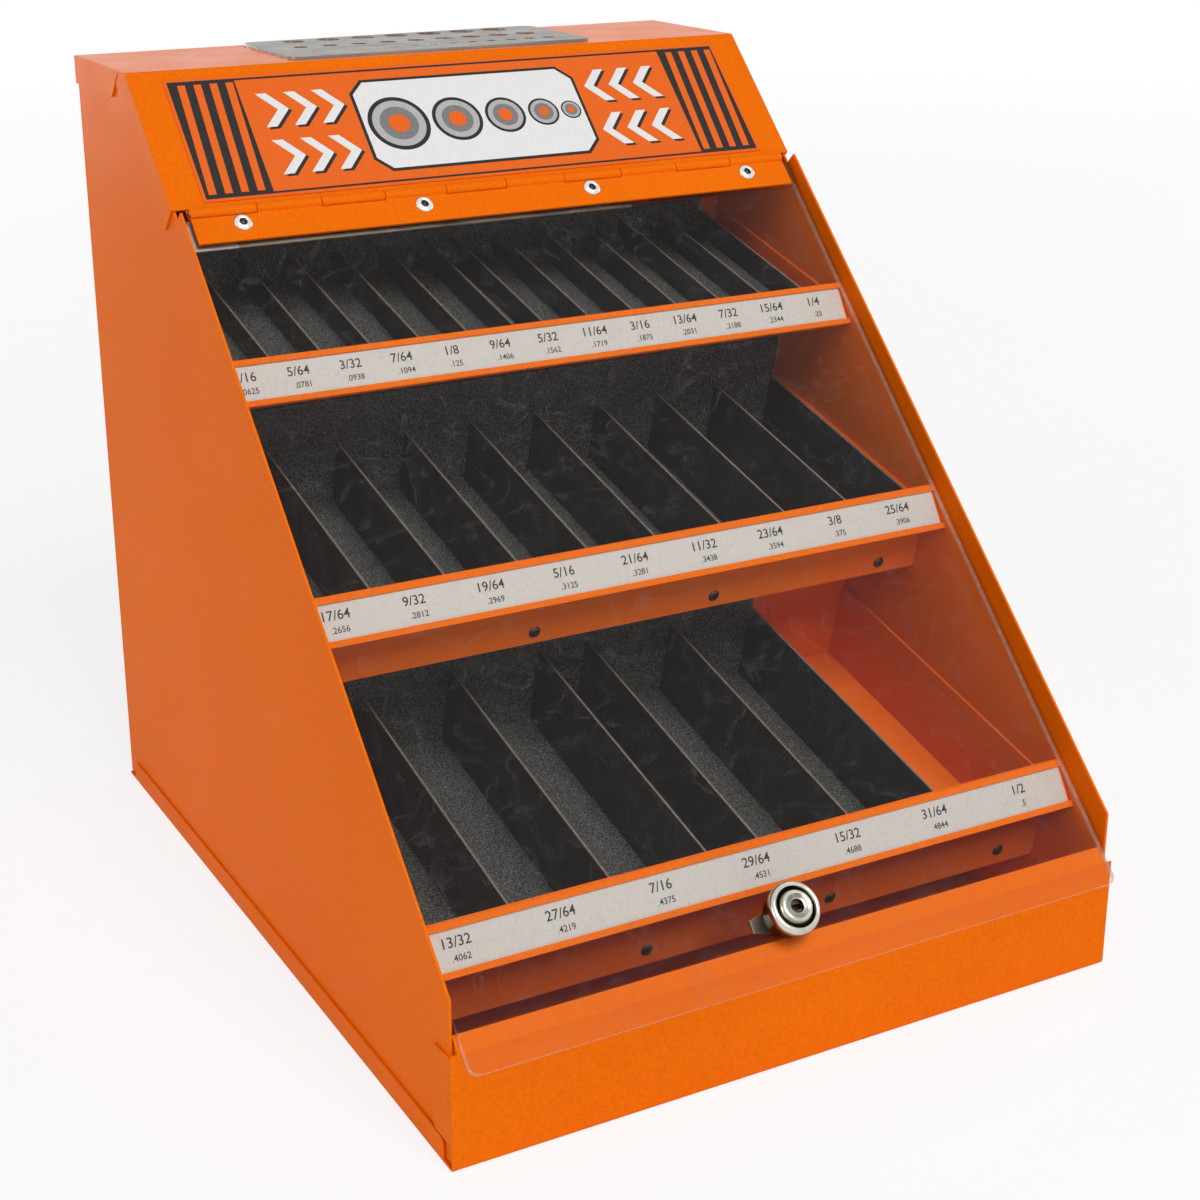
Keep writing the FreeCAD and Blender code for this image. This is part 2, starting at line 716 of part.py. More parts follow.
strip = new_body("backing_strip")
outline = new_sketch(strip, "outline", "XY", f"{COVER_BACK} - Size.strip_sheet")
polygon(
    outline,
    rectangle(
        f"-{COVER_HALF}",
        f"{COVER_HALF} - Size.strip_cut",
        "-Size.cover_top - Size.strip_length",
        "-Size.cover_top",
    ),
)
pad(strip, outline, "Size.strip_sheet")
holes = new_sketch(strip, "holes", "XY")
for across in STRIP_RIVETS:
    circle(holes, across, "-Size.rivet_drop", "Size.rivet_shank")
cut_through(strip, holes)
strip.Placement = on_cover

# Rivets of the cover: one is drawn from its seat on the leaf, and its copies are set along the leaf


def rivet_shape(name, head, head_height, shank, grip):
    """A rivet about Z: its low conical head above the seat at zero, its shank as long as the grip."""
    body = new_body(name, part=False)
    half = new_sketch(body, "half", "XZ")
    polygon(
        half,
        [
            ("0", head_height),
            (f"{head} * {RIVET_CROWN}", head_height),
            (f"{head} / 2", "0"),
            (f"{shank} / 2", "0"),
            (f"{shank} / 2", f"-{grip}"),
            ("0", f"-{grip}"),
        ],
    )
    revolve(body, half)
    doc.recompute()
    return body.Shape


cover_grip = "(Size.hinge_sheet + Size.cover_sheet + Size.strip_sheet)"
short_grip = "(Size.hinge_sheet + Size.cover_sheet)"
rivet_sizes = ("Size.rivet_head", "Size.rivet_head_height", "Size.rivet_shank")
long_rivet = rivet_shape("long_rivet", *rivet_sizes, cover_grip)
short_rivet = rivet_shape("short_rivet", *rivet_sizes, short_grip)
rivet_solids = []
for across in RIVETS:
    seat = cover_place(value(across), value("Size.rivet_drop"), value(LEAF_FACE))
    rivet_solids += copies(long_rivet if across in STRIP_RIVETS else short_rivet, [seat])
group("cover_rivets", rivet_solids)

# Lock: housing with its bezel, nut, turning plug, cam and cam screw, all about Z

lock_seat = cover_place(value("Size.lock_across"), value("Size.lock_drop"), value(COVER_FACE))
bezel_back = "(Size.lock_proud - Size.lock_bezel)"
shank_end = "-(Size.cover_sheet + Size.lock_nut_height)"
plug_face = "(Size.lock_proud - Size.plug_recess)"
plug_shoulder = f"({plug_face} - Size.plug_head_length)"
plug_hole = "(Size.plug_head / 2 + Size.plug_play)"
stem_hole = "(Size.plug_stem / 2 + Size.plug_play)"

housing = new_body("lock_housing")
half = new_sketch(housing, "half", "XZ")
polygon(
    half,
    [
        (plug_hole, "Size.lock_proud"),
        ("Size.lock_face / 2 - Size.lock_chamfer", "Size.lock_proud"),
        ("Size.lock_face / 2", "Size.lock_proud - Size.lock_chamfer"),
        ("Size.lock_face / 2", bezel_back),
        ("Size.lock_body / 2", bezel_back),
        ("Size.lock_body / 2", "0"),
        ("Size.lock_thread / 2", "0"),
        ("Size.lock_thread / 2", shank_end),
        (stem_hole, shank_end),
        (stem_hole, f"{plug_shoulder} - Size.plug_play"),
        (plug_hole, f"{plug_shoulder} - Size.plug_play"),
    ],
)
revolve(housing, half)
for side, sign in (("left", "-"), ("right", "")):
    flat = new_sketch(housing, f"{side}_flat", "XY")
    inner_edge, outer_edge = f"{sign}Size.lock_flats / 2", f"{sign}Size.lock_face"
    polygon(flat, rectangle(inner_edge, outer_edge, "-Size.lock_face", "Size.lock_face"))
    feature = housing.newObject("PartDesign::Pocket", f"{flat.Name}_cut")
    feature.Profile = flat
    feature.setExpression("Length", bezel_back)
    feature.Reversed = True
housing.Placement = lock_seat

nut = new_body("lock_nut")
hexagon = new_sketch(nut, "hexagon", "XY", shank_end)
polygon(
    hexagon,
    [
        (
            f"Size.lock_nut_flats / sqrt(3) * cos({60 * n} deg)",
            f"Size.lock_nut_flats / sqrt(3) * sin({60 * n} deg)",
        )
        for n in range(6)
    ],
)
circle(hexagon, "0", "0", "Size.lock_thread")
pad(nut, hexagon, "Size.lock_nut_height")
nut.Placement = lock_seat

CAM_TOP = f"({shank_end} - Size.cam_gap)"
CAM_BOTTOM = f"({CAM_TOP} - Size.cam_sheet)"
plug = new_body("lock_plug")
half = new_sketch(plug, "half", "XZ")
polygon(
    half,
    [
        ("0", plug_face),
        ("Size.plug_head / 2", plug_face),
        ("Size.plug_head / 2", plug_shoulder),
        ("Size.plug_stem / 2", plug_shoulder),
        ("Size.plug_stem / 2", CAM_TOP),
        ("0", CAM_TOP),
    ],
)
revolve(plug, half)
square = new_sketch(plug, "square", "XY", CAM_BOTTOM)
half_square = "Size.cam_square / 2"
polygon(square, rectangle(f"-{half_square}", half_square, f"-{half_square}", half_square))
pad(plug, square, "Size.cam_sheet + Size.cam_gap")
slot = new_sketch(plug, "key_slot", "XY", plug_face)
polygon(
    slot,
    rectangle(
        "-Size.key_slot_length / 2",
        "Size.key_slot_length / 2",
        "-Size.key_slot_width / 2",
        "Size.key_slot_width / 2",
    ),
)
key_way = plug.newObject("PartDesign::Pocket", "key_way")
key_way.Profile = slot
key_way.setExpression("Length", "Size.key_slot_depth")
screw_hole = new_sketch(plug, "screw_hole", "XY", CAM_BOTTOM)
circle(screw_hole, "0", "0", "Size.cam_screw_shank")
screw_bore = plug.newObject("PartDesign::Pocket", "screw_bore")
screw_bore.Profile = screw_hole
screw_bore.setExpression("Length", "Size.cam_screw_length")
screw_bore.Reversed = True
plug.Placement = lock_seat

cam = new_body("lock_cam")
outline = new_sketch(cam, "outline", "XY", CAM_BOTTOM)
polygon(
    outline,
    [
        ("-Size.cam_reach", "-Size.cam_tip / 2"),
        ("-Size.cam_width / 2", "-Size.cam_width / 2"),
        ("Size.cam_tip / 2", "-Size.cam_width / 2"),
        ("Size.cam_width / 2", "-Size.cam_tip / 2"),
        ("Size.cam_width / 2", "Size.cam_tip / 2"),
        ("Size.cam_tip / 2", "Size.cam_width / 2"),
        ("-Size.cam_width / 2", "Size.cam_width / 2"),
        ("-Size.cam_reach", "Size.cam_tip / 2"),
    ],
)
polygon(outline, rectangle(f"-{half_square}", half_square, f"-{half_square}", half_square))
pad(cam, outline, "Size.cam_sheet")
cam.Placement = lock_seat

screw = new_body("cam_screw")
half = new_sketch(screw, "half", "XZ")
polygon(
    half,
    [
        ("0", f"{CAM_BOTTOM} + Size.cam_screw_length"),
        ("Size.cam_screw_shank / 2", f"{CAM_BOTTOM} + Size.cam_screw_length"),
        ("Size.cam_screw_shank / 2", CAM_BOTTOM),
        ("Size.cam_screw_head / 2", CAM_BOTTOM),
        ("Size.cam_screw_head / 2", f"{CAM_BOTTOM} - Size.cam_screw_height"),
        ("0", f"{CAM_BOTTOM} - Size.cam_screw_height"),
    ],
)
revolve(screw, half)
screw.Placement = lock_seat

# Trays: floor, walls and label flange; a liner, dividers, a label strip and rivets in each

STUDS = [f"Size.stud_across + {n} * Size.stud_pitch" for n in (-1, 0, 1)]
TRAY_INNER = f"({TRAY_HALF} - Size.sheet)"
FOLD_COS = "cos(Size.label_fold * 1 deg)"
FOLD_SIN = "sin(Size.label_fold * 1 deg)"


def on_flange(along, out):
    """A point of a tray's section, down the label flange and out from its face."""
    return (
        f"-({along}) * {FOLD_SIN} - ({out}) * {FOLD_COS}",
        f"-({along}) * {FOLD_COS} + ({out}) * {FOLD_SIN}",
    )


def label_channel(body, name, start, direction):
    """A folded lip at one edge of the label flange; direction points into the flange."""
    lip_out = "Size.label_slot + Size.label_lip_sheet"
    inward = f"{start} {direction} Size.label_lip"
    wall = f"{start} {direction} Size.label_lip_sheet"
    sketch = new_sketch(body, name, "YZ")
    polygon(
        sketch,
        [
            on_flange(start, "0"),
            on_flange(start, lip_out),
            on_flange(inward, lip_out),
            on_flange(inward, "Size.label_slot"),
            on_flange(wall, "Size.label_slot"),
            on_flange(wall, "0"),
        ],
    )
    return pad(body, sketch, f"2 * {TRAY_HALF}", both_ways=True)


def rivet_holes(body, tray, deep):
    """Holes through the lower part of a tray's front wall or of its liner."""
    holes = new_sketch(body, "rivet_holes", "XZ")
    for across in STUDS:
        circle(holes, across, f"-Size.{tray}_wall + Size.{tray}_stud_height", "Size.stud_shank")
    cut = body.newObject("PartDesign::Pocket", f"{holes.Name}_cut")
    cut.Profile = holes
    cut.setExpression("Length", deep)


def make_tray(tray):
    wall, end, floor = (f"Size.{tray}_{part}" for part in ("wall", "end", "floor"))
    body = new_body(f"{tray}_tray")
    section = new_sketch(body, "section", "YZ")
    inner_fold = f"-Size.sheet / {FOLD_SIN}"
    back_top = f"-{wall} + {end} + Size.{tray}_back_rise"
    polygon(
        section,
        [
            ("0", "0"),
            on_flange("Size.label_flange", "0"),
            on_flange("Size.label_flange", "-Size.sheet"),
            ("0", inner_fold),
            ("0", f"-{wall}"),
            (floor, f"-{wall}"),
            (floor, back_top),
            (f"{floor} - Size.sheet", back_top),
            (f"{floor} - Size.sheet", f"-{wall} + Size.sheet"),
            ("Size.sheet", f"-{wall} + Size.sheet"),
            ("Size.sheet", "0"),
        ],
    )
    pad(body, section, f"2 * {TRAY_HALF}", both_ways=True)
    label_channel(body, "top_lip", "0", "+")
    label_channel(body, "bottom_lip", "Size.label_flange", "-")
    for side, offset in (("left", f"-{TRAY_HALF}"), ("right", f"{TRAY_HALF} - Size.sheet")):
        end_wall = new_sketch(body, f"{side}_end", "YZ", offset)
        polygon(
            end_wall,
            [
                ("0", f"-{wall}"),
                (floor, f"-{wall}"),
                (floor, f"-{wall} + {end}"),
                ("Size.rim_run", f"-{wall} + {end}"),
                ("0", "-Size.rim_drop"),
            ],
        )
        pad(body, end_wall, "Size.sheet")
    if tray in RIVETED_TRAYS:
        rivet_holes(body, tray, "2 * Size.sheet")
    body.Placement = tray_place(tray)


def make_liner(tray):
    """The liner covers the floor up to its last divider and turns up against both long walls."""
    wall, end, floor = (f"Size.{tray}_{part}" for part in ("wall", "end", "floor"))
    low = f"-{wall} + Size.sheet"
    back = f"{floor} - Size.sheet"
    back_top = f"-{wall} + {end} + Size.{tray}_back_rise"
    body = new_body(f"{tray}_liner")
    section = new_sketch(body, "section", "YZ", f"-{TRAY_INNER}")
    polygon(
        section,
        [
            ("Size.sheet", low),
            (back, low),
            (back, back_top),
            (f"{back} - Size.liner_sheet", back_top),
            (f"{back} - Size.liner_sheet", f"{low} + Size.liner_sheet"),
            ("Size.sheet + Size.liner_sheet", f"{low} + Size.liner_sheet"),
            ("Size.sheet + Size.liner_sheet", f"{low} + Size.liner_upstand"),
            ("Size.sheet", f"{low} + Size.liner_upstand"),
        ],
    )
    pad(body, section, f"2 * {TRAY_INNER} - Size.{tray}_right_gap + Size.divider_sheet / 2")
    if tray in RIVETED_TRAYS:
        rivet_holes(body, tray, "2 * Size.sheet + 2 * Size.liner_sheet")
    body.Placement = tray_place(tray)


def divider_places(tray):
    """Where dividers stand, right of the cabinet's middle: some from the left, some from the right."""
    left, right = (round(value(f"Size.{tray}_{side}_count")) for side in ("left", "right"))
    edge = value(TRAY_INNER)
    right_end = edge - value(f"Size.{tray}_right_gap")
    equal_bins = left + max(right - 1, 0)
    pitch = (edge + right_end - value(f"Size.{tray}_odd_bin")) / equal_bins
    from_left = [-edge + n * pitch for n in range(1, left + 1)]
    from_right = [right_end - n * pitch for n in range(right)]
    return sorted(from_left + from_right)


def make_dividers(tray):
    wall, end, floor = (f"Size.{tray}_{part}" for part in ("wall", "end", "floor"))
    front = "Size.sheet + Size.liner_sheet"
    low = f"-{wall} + Size.sheet + Size.liner_sheet"
    body = new_body(f"{tray}_divider", part=False)
    outline = new_sketch(body, "outline", "YZ")
    back = f"{floor} - Size.sheet - Size.liner_sheet"
    polygon(outline, rectangle(front, back, low, f"-{wall} + {end}"))
    plate = pad(body, outline, "Size.divider_sheet", both_ways=True)
    round_edges(
        body,
        plate,
        "Size.divider_corner",
        lambda edge: is_along(edge, X_AXIS)
        and middle_of(edge).y < value(front) + CLOSE
        and middle_of(edge).z > value(low) + CLOSE,
    )
    doc.recompute()
    place = tray_place(tray)
    spots = [
        place.multiply(Placement(Vector(across, 0, 0), Rotation()))
        for across in divider_places(tray)
    ]
    group(f"{tray}_dividers", copies(body.Shape, spots))


def make_label(tray):
    """A card strip held in the slot behind the two folded lips."""
    top = "Size.label_lip_sheet + Size.label_play"
    bottom = "Size.label_flange - Size.label_lip_sheet - Size.label_play"
    lift = "(Size.label_slot - Size.label_sheet) / 2"
    body = new_body(f"{tray}_label_strip")
    section = new_sketch(body, "section", "YZ")
    polygon(
        section,
        [
            on_flange(top, lift),
            on_flange(bottom, lift),
            on_flange(bottom, f"{lift} + Size.label_sheet"),
            on_flange(top, f"{lift} + Size.label_sheet"),
        ],
    )
    pad(body, section, f"2 * {TRAY_HALF} - 2 * Size.label_end_gap", both_ways=True)
    body.Placement = tray_place(tray)


stud_grip = "(Size.sheet + Size.liner_sheet)"
stud = rivet_shape(
    "stud",
    "Size.stud_head",
    "Size.stud_head_height",
    "Size.stud_shank",
    stud_grip,
)
stud_solids = []
facing_front = Rotation(X_AXIS, 90)
for tray in TRAYS:
    make_tray(tray)
    make_liner(tray)
    make_dividers(tray)
    make_label(tray)
    for across in STUDS if tray in RIVETED_TRAYS else ():
        height = value(f"-Size.{tray}_wall + Size.{tray}_stud_height")
        seat = Placement(Vector(value(across), 0, height), facing_front)
        stud_solids += copies(stud, [tray_place(tray).multiply(seat)])
group("tray_rivets", stud_solids)

# Checks, then one file for each piece

doc.recompute()
faults = [o.Name for o in doc.Objects if "Invalid" in o.State or "Error" in o.State]
for piece in pieces:
    if piece.Shape.isNull() or not piece.Shape.isValid() or piece.Shape.Volume <= 0:
        faults.append(piece.Label)
if faults:
    raise RuntimeError(f"Pieces that failed: {faults}")

os.makedirs("parts", exist_ok=True)
for piece in pieces:
    piece.Shape.exportStep(f"parts/{piece.Label}.step")
    box = piece.Shape.BoundBox
    print(
        f"{piece.Label}: {len(piece.Shape.Solids)} solids, {piece.Shape.Volume:.0f} mm3,"
        f" x {box.XMin:.1f} {box.XMax:.1f}, y {box.YMin:.1f} {box.YMax:.1f},"
        f" z {box.ZMin:.1f} {box.ZMax:.1f}"
    )
print(f"cover angle {cover_angle:.3f}, hinge axis {hinge_point}, lock seat {lock_seat.Base}")
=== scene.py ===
# %% [markdown]
# # A bench dispenser for drill bits
# The real object is a cabinet of orange, powder-coated sheet steel. A clear, locking cover lies on its
# sloping front, and behind it three tilted trays hold drill bits in black bins. The solid part already
# has every fold, bin and hinge knuckle at its real size, so this lesson dresses it: it gives each piece
# its finish and adds the small things that a solid leaves out, such as printed numbers and a sign.

# %% Bring in the solid part
import json
import math

import bmesh
import bpy
from mathutils import Matrix, Vector

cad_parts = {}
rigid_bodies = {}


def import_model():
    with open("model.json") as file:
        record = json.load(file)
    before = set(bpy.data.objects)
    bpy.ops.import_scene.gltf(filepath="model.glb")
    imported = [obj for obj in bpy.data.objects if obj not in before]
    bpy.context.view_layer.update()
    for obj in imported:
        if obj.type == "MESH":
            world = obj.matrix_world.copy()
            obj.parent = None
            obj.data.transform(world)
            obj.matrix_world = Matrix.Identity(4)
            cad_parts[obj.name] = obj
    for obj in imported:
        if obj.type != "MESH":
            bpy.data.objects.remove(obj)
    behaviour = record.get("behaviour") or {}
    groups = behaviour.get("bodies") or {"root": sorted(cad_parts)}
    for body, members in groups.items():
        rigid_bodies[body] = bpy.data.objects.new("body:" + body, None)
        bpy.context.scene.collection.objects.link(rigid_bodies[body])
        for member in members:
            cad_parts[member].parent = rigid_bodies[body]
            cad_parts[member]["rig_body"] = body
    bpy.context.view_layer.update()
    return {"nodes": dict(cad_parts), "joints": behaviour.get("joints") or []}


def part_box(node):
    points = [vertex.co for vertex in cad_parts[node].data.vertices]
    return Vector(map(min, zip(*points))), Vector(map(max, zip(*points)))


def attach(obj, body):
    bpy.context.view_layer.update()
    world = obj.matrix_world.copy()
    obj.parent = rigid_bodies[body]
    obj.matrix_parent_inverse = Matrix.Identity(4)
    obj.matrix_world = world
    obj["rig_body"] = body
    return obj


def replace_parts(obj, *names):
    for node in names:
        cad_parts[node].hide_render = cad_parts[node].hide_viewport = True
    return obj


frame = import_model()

print(f"{len(frame['nodes'])} pieces of the solid part are in the scene")

# %% [markdown]
# Blender counts in metres, while sheet metal is drawn in millimetres. One factor keeps the numbers of
# this lesson readable. Directions that come up often get a name as well.

# %% Units and directions
MM = 0.001
RIGHT = Vector((1, 0, 0))
FORWARD_UP = Vector((0, -1, 1)).normalized()
print(f"one millimetre is {MM} of Blender's metres")

# %% [markdown]
# A finish is a recipe for how light meets a surface. Powder coat, brushed steel and printed card all
# differ in colour, gloss and grain, and none of them is one even colour. Each recipe here starts from
# the Principled shader and adds a grain that is made by arithmetic, so no picture file is needed. The
# grain is laid out in the object's own metres: it stays on the metal when the cover swings.

# %% Helpers for finishes
def start_finish(name, color, roughness, metallic=0.0, gloss=0.5):
    """A new material with even values: its node tree and its shader come back with it."""
    material = bpy.data.materials.new(name)
    material.use_nodes = True
    material.diffuse_color = (*color, 1)
    tree = material.node_tree
    shader = tree.nodes["Principled BSDF"]
    shader.inputs["Base Color"].default_value = (*color, 1)
    shader.inputs["Roughness"].default_value = roughness
    shader.inputs["Metallic"].default_value = metallic
    shader.inputs["Specular IOR Level"].default_value = gloss
    return material, tree, shader


def grain(tree, per_metre, stretch=(1, 1, 1), detail=3.0):
    """Noise with that many spots to a metre, drawn out along an axis by a small stretch value."""
    place = tree.nodes.new("ShaderNodeTexCoord")
    mapping = tree.nodes.new("ShaderNodeMapping")
    mapping.inputs["Scale"].default_value = stretch
    noise = tree.nodes.new("ShaderNodeTexNoise")
    noise.inputs["Scale"].default_value = per_metre
    noise.inputs["Detail"].default_value = detail
    tree.links.new(place.outputs["Object"], mapping.inputs["Vector"])
    tree.links.new(mapping.outputs["Vector"], noise.inputs["Vector"])
    return noise.outputs["Fac"]


def blend_colors(tree, shader, factor, colors, low=0.3, high=0.7):
    """Base colour that runs from the first to the second colour as the grain rises from low to high."""
    ramp = tree.nodes.new("ShaderNodeValToRGB")
    for stop, place, color in zip(ramp.color_ramp.elements, (low, high), colors):
        stop.position = place
        stop.color = (*color, 1)
    tree.links.new(factor, ramp.inputs["Fac"])
    tree.links.new(ramp.outputs["Color"], shader.inputs["Base Color"])


def vary_roughness(tree, shader, factor, smooth, rough):
    """Roughness that follows the grain."""
    reach = tree.nodes.new("ShaderNodeMapRange")
    reach.inputs["From Min"].default_value = 0.3
    reach.inputs["From Max"].default_value = 0.7
    reach.inputs["To Min"].default_value = smooth
    reach.inputs["To Max"].default_value = rough
    tree.links.new(factor, reach.inputs["Value"])
    tree.links.new(reach.outputs["Result"], shader.inputs["Roughness"])


def add_relief(tree, shader, factor, depth, strength=1.0):
    """Tiny hills and hollows of that depth, felt by the light only."""
    bump = tree.nodes.new("ShaderNodeBump")
    bump.inputs["Distance"].default_value = depth
    bump.inputs["Strength"].default_value = strength
    tree.links.new(factor, bump.inputs["Height"])
    tree.links.new(bump.outputs["Normal"], shader.inputs["Normal"])


print("helpers for finishes are ready")

# %% [markdown]
# Powder coat is plastic powder that melts onto the steel in an oven. It flows out glossy, but not
# perfectly flat: a fine ripple like the skin of an orange stays in it. One noise makes that ripple,
# and a fine and a slow one shift the orange a little. The coat mirrors the room only at a low angle,
# as on the roof: the Layer Weight node tells how low. The colour is written as it looks in plain light.

# %% Orange powder coat
COAT_GLOSS = 0.012
ROOF_GLOSS = 1.0
FINE_SHARE = 0.7


def make_powder_coat():
    material, tree, shader = start_finish("powder coat", (0.84, 0.155, 0.004), 0.35, gloss=COAT_GLOSS)
    shader.inputs["Specular Tint"].default_value = (1.0, 0.6, 0.35, 1)
    mottle = tree.nodes.new("ShaderNodeMath")
    mottle.operation = "MULTIPLY_ADD"
    tree.links.new(grain(tree, 900, detail=3), mottle.inputs[0])
    mottle.inputs[1].default_value = FINE_SHARE
    slow = tree.nodes.new("ShaderNodeMath")
    slow.operation = "MULTIPLY"
    tree.links.new(grain(tree, 9, detail=5), slow.inputs[0])
    slow.inputs[1].default_value = 1 - FINE_SHARE
    tree.links.new(slow.outputs[0], mottle.inputs[2])
    blend_colors(tree, shader, mottle.outputs[0], ((0.77, 0.134, 0.003), (0.91, 0.176, 0.005)))
    vary_roughness(tree, shader, grain(tree, 40), 0.30, 0.40)
    add_relief(tree, shader, grain(tree, 700, detail=1.5), 0.00005, 0.5)
    angle = tree.nodes.new("ShaderNodeLayerWeight")
    low = tree.nodes.new("ShaderNodeMapRange")
    tree.links.new(angle.outputs["Facing"], low.inputs["Value"])
    low.inputs["From Min"].default_value = 0.80
    low.inputs["From Max"].default_value = 0.92
    low.inputs["To Min"].default_value = COAT_GLOSS
    low.inputs["To Max"].default_value = ROOF_GLOSS
    tree.links.new(low.outputs["Result"], shader.inputs["Specular IOR Level"])
    return material


powder_coat = make_powder_coat()
print(f"made {powder_coat.name}")

# %% [markdown]
# The bins are lined with black plastic sheet, and black plates part them. The sheet has a fine, dull
# texture, and its paler specks are a painted sheen of light that glances off it. The plates' upper
# edges are rubbed the most, and they face the light: they show as thin brownish lines. That edge gets a
# finish of its own, lighter for the wear and as a painted highlight.

# %% Black liners with a painted sheen, dividers and their worn, painted-lit edges
def make_black_plastic(name, dark, pale, roughness):
    material, tree, shader = start_finish(name, dark, roughness, gloss=0.2)
    blend_colors(tree, shader, grain(tree, 1400, detail=6), (dark, pale), 0.42, 0.72)
    vary_roughness(tree, shader, grain(tree, 60), roughness - 0.08, roughness + 0.12)
    add_relief(tree, shader, grain(tree, 1800, detail=2), 0.00008, 0.5)
    return material


# The liner's pale specks are a painted sheen.
liner_black_painted_sheen = make_black_plastic(
    "bin liner black with painted sheen", (0.028, 0.027, 0.026), (0.19, 0.195, 0.175), 0.62
)
divider_black = make_black_plastic("divider black", (0.020, 0.017, 0.018), (0.050, 0.045, 0.045), 0.55)
# The dividers' upper edges: lighter for wear, and as a painted highlight where they face the light.
edge_worn_and_painted_lit = make_black_plastic("divider edge worn and painted lit", (0.15, 0.125, 0.105), (0.34, 0.29, 0.24), 0.5)
print("made the black plastics")

# %% [markdown]
# The numbers are printed on off-white card that slides into a channel on each tray. Paper has short
# fibres, so a fine noise mottles both its colour and its surface. The ink is a dark grey, thinner in
# places.

# %% Card and ink
def make_card():
    material, tree, shader = start_finish("label card", (0.60, 0.565, 0.53), 0.6)
    blend_colors(
        tree, shader, grain(tree, 900, detail=6), ((0.54, 0.50, 0.455), (0.60, 0.56, 0.51))
    )
    add_relief(tree, shader, grain(tree, 2500), 0.00002, 0.4)
    return material


def make_ink(name, dark, pale):
    material, tree, shader = start_finish(name, dark, 0.5, gloss=0.15)
    blend_colors(tree, shader, grain(tree, 1200), (dark, pale))
    add_relief(tree, shader, grain(tree, 3000), 0.00001, 0.3)
    return material


label_card = make_card()
number_ink = make_ink("number ink", (0.030, 0.028, 0.028), (0.075, 0.07, 0.065))
print("made card and ink")

# %% [markdown]
# Several metals meet on this object. The gauge plate is steel with a long brushed grain, the strip
# behind the hinge is dull aluminium, the rivets are bright aluminium, the lock is chrome plated and its
# inner parts are zinc plated. They share one recipe: a metal shader, a stretched grain for the
# brushing, and a roughness that wanders.

# %% Metals
def make_metal(name, dark, pale, roughness, stretch, per_metre=500, depth=0.00001):
    material, tree, shader = start_finish(name, dark, roughness, metallic=1.0)
    brushed = grain(tree, per_metre, stretch, detail=4)
    blend_colors(tree, shader, brushed, (dark, pale))
    vary_roughness(tree, shader, grain(tree, 80), roughness * 0.8, roughness * 1.25)
    add_relief(tree, shader, brushed, depth, 0.5)
    return material


gauge_steel = make_metal("gauge steel", (0.20, 0.185, 0.17), (0.36, 0.34, 0.31), 0.42, (0.04, 1, 1))
pin_steel = make_metal("pin steel", (0.40, 0.38, 0.36), (0.52, 0.50, 0.48), 0.3, (0.05, 1, 1))
dull_aluminium = make_metal(
    "dull aluminium", (0.30, 0.235, 0.165), (0.50, 0.42, 0.32), 0.45, (0.05, 1, 1)
)
# The brighter aluminium is a painted highlight, for the left end of the strip behind the hinge.
aluminium_painted_highlight = make_metal(
    "bright aluminium", (0.72, 0.70, 0.66), (0.84, 0.82, 0.78), 0.4, (0.05, 1, 1)
)
rivet_aluminium = make_metal("rivet aluminium", (0.62, 0.62, 0.60), (0.78, 0.78, 0.76), 0.27, (1, 1, 1))
# The lock's chromes paint its light and shade: the lighter one's slow grain paints light and dark
# reflections, and the darker one is painted shade.
chrome_painted_light = make_metal("chrome painted light", (0.46, 0.45, 0.38), (0.72, 0.71, 0.64), 0.16, (1, 1, 1), 120)
chrome_painted_shade = make_metal("chrome painted shade", (0.20, 0.19, 0.14), (0.42, 0.41, 0.33), 0.2, (1, 1, 1), 160)
zinc_plate = make_metal("zinc plate", (0.17, 0.15, 0.11), (0.29, 0.26, 0.20), 0.35, (1, 1, 1))
# Black metal: the trays' rivets are blackened, and elsewhere it is painted shade: in the blind rivets'
# holes, deep in the lock's groove, under its key head and on the plug seen through the key hole.
black_metal_and_painted_shade = make_metal("blackened metal and painted shade", (0.035, 0.025, 0.022), (0.085, 0.06, 0.05), 0.45, (1, 1, 1))
print("made nine metals")

# %% [markdown]
# The cover is clear acrylic sheet, 2.4 mm thick. A glass shader would bend the light twice and shade
# what lies behind it. For a thin flat sheet it is simpler and truer to let most of the light pass
# straight through with alpha, and to keep the gloss: a high index of refraction makes up for the
# share that alpha takes away. Wiping has left faint swirls on it. The sawn edges catch light and look
# almost solid.

# %% Clear acrylic with swirls, and its edges
def make_clear_sheet():
    material, tree, shader = start_finish("clear acrylic", (0.30, 0.29, 0.28), 0.04)
    shader.inputs["IOR"].default_value = 1.9
    waves = tree.nodes.new("ShaderNodeTexWave")
    waves.wave_type = "RINGS"
    waves.inputs["Scale"].default_value = 11.0
    waves.inputs["Distortion"].default_value = 26.0
    waves.inputs["Detail"].default_value = 4.0
    waves.inputs["Detail Scale"].default_value = 2.5
    place = tree.nodes.new("ShaderNodeTexCoord")
    tree.links.new(place.outputs["Object"], waves.inputs["Vector"])
    swirl = tree.nodes.new("ShaderNodeMapRange")
    swirl.inputs["From Min"].default_value = 0.972
    swirl.inputs["From Max"].default_value = 1.0
    swirl.inputs["To Min"].default_value = 0.022
    swirl.inputs["To Max"].default_value = 0.06
    tree.links.new(waves.outputs["Fac"], swirl.inputs["Value"])
    tree.links.new(swirl.outputs["Result"], shader.inputs["Alpha"])
    vary_roughness(tree, shader, grain(tree, 25), 0.03, 0.09)
    return material


def make_sheet_edge():
    material, tree, shader = start_finish("acrylic edge", (0.62, 0.56, 0.50), 0.25)
    shader.inputs["Alpha"].default_value = 0.55
    blend_colors(tree, shader, grain(tree, 500, (0.1, 1, 1)), ((0.50, 0.44, 0.38), (0.74, 0.70, 0.64)))
    return material


clear_acrylic = make_clear_sheet()
acrylic_edge = make_sheet_edge()
print("made the clear sheet and its edge")

# %% [markdown]
# The sign is screen printed: flat, glossy layers of orange, black, white and grey. They need little
# grain, only the slight unevenness of an ink film.

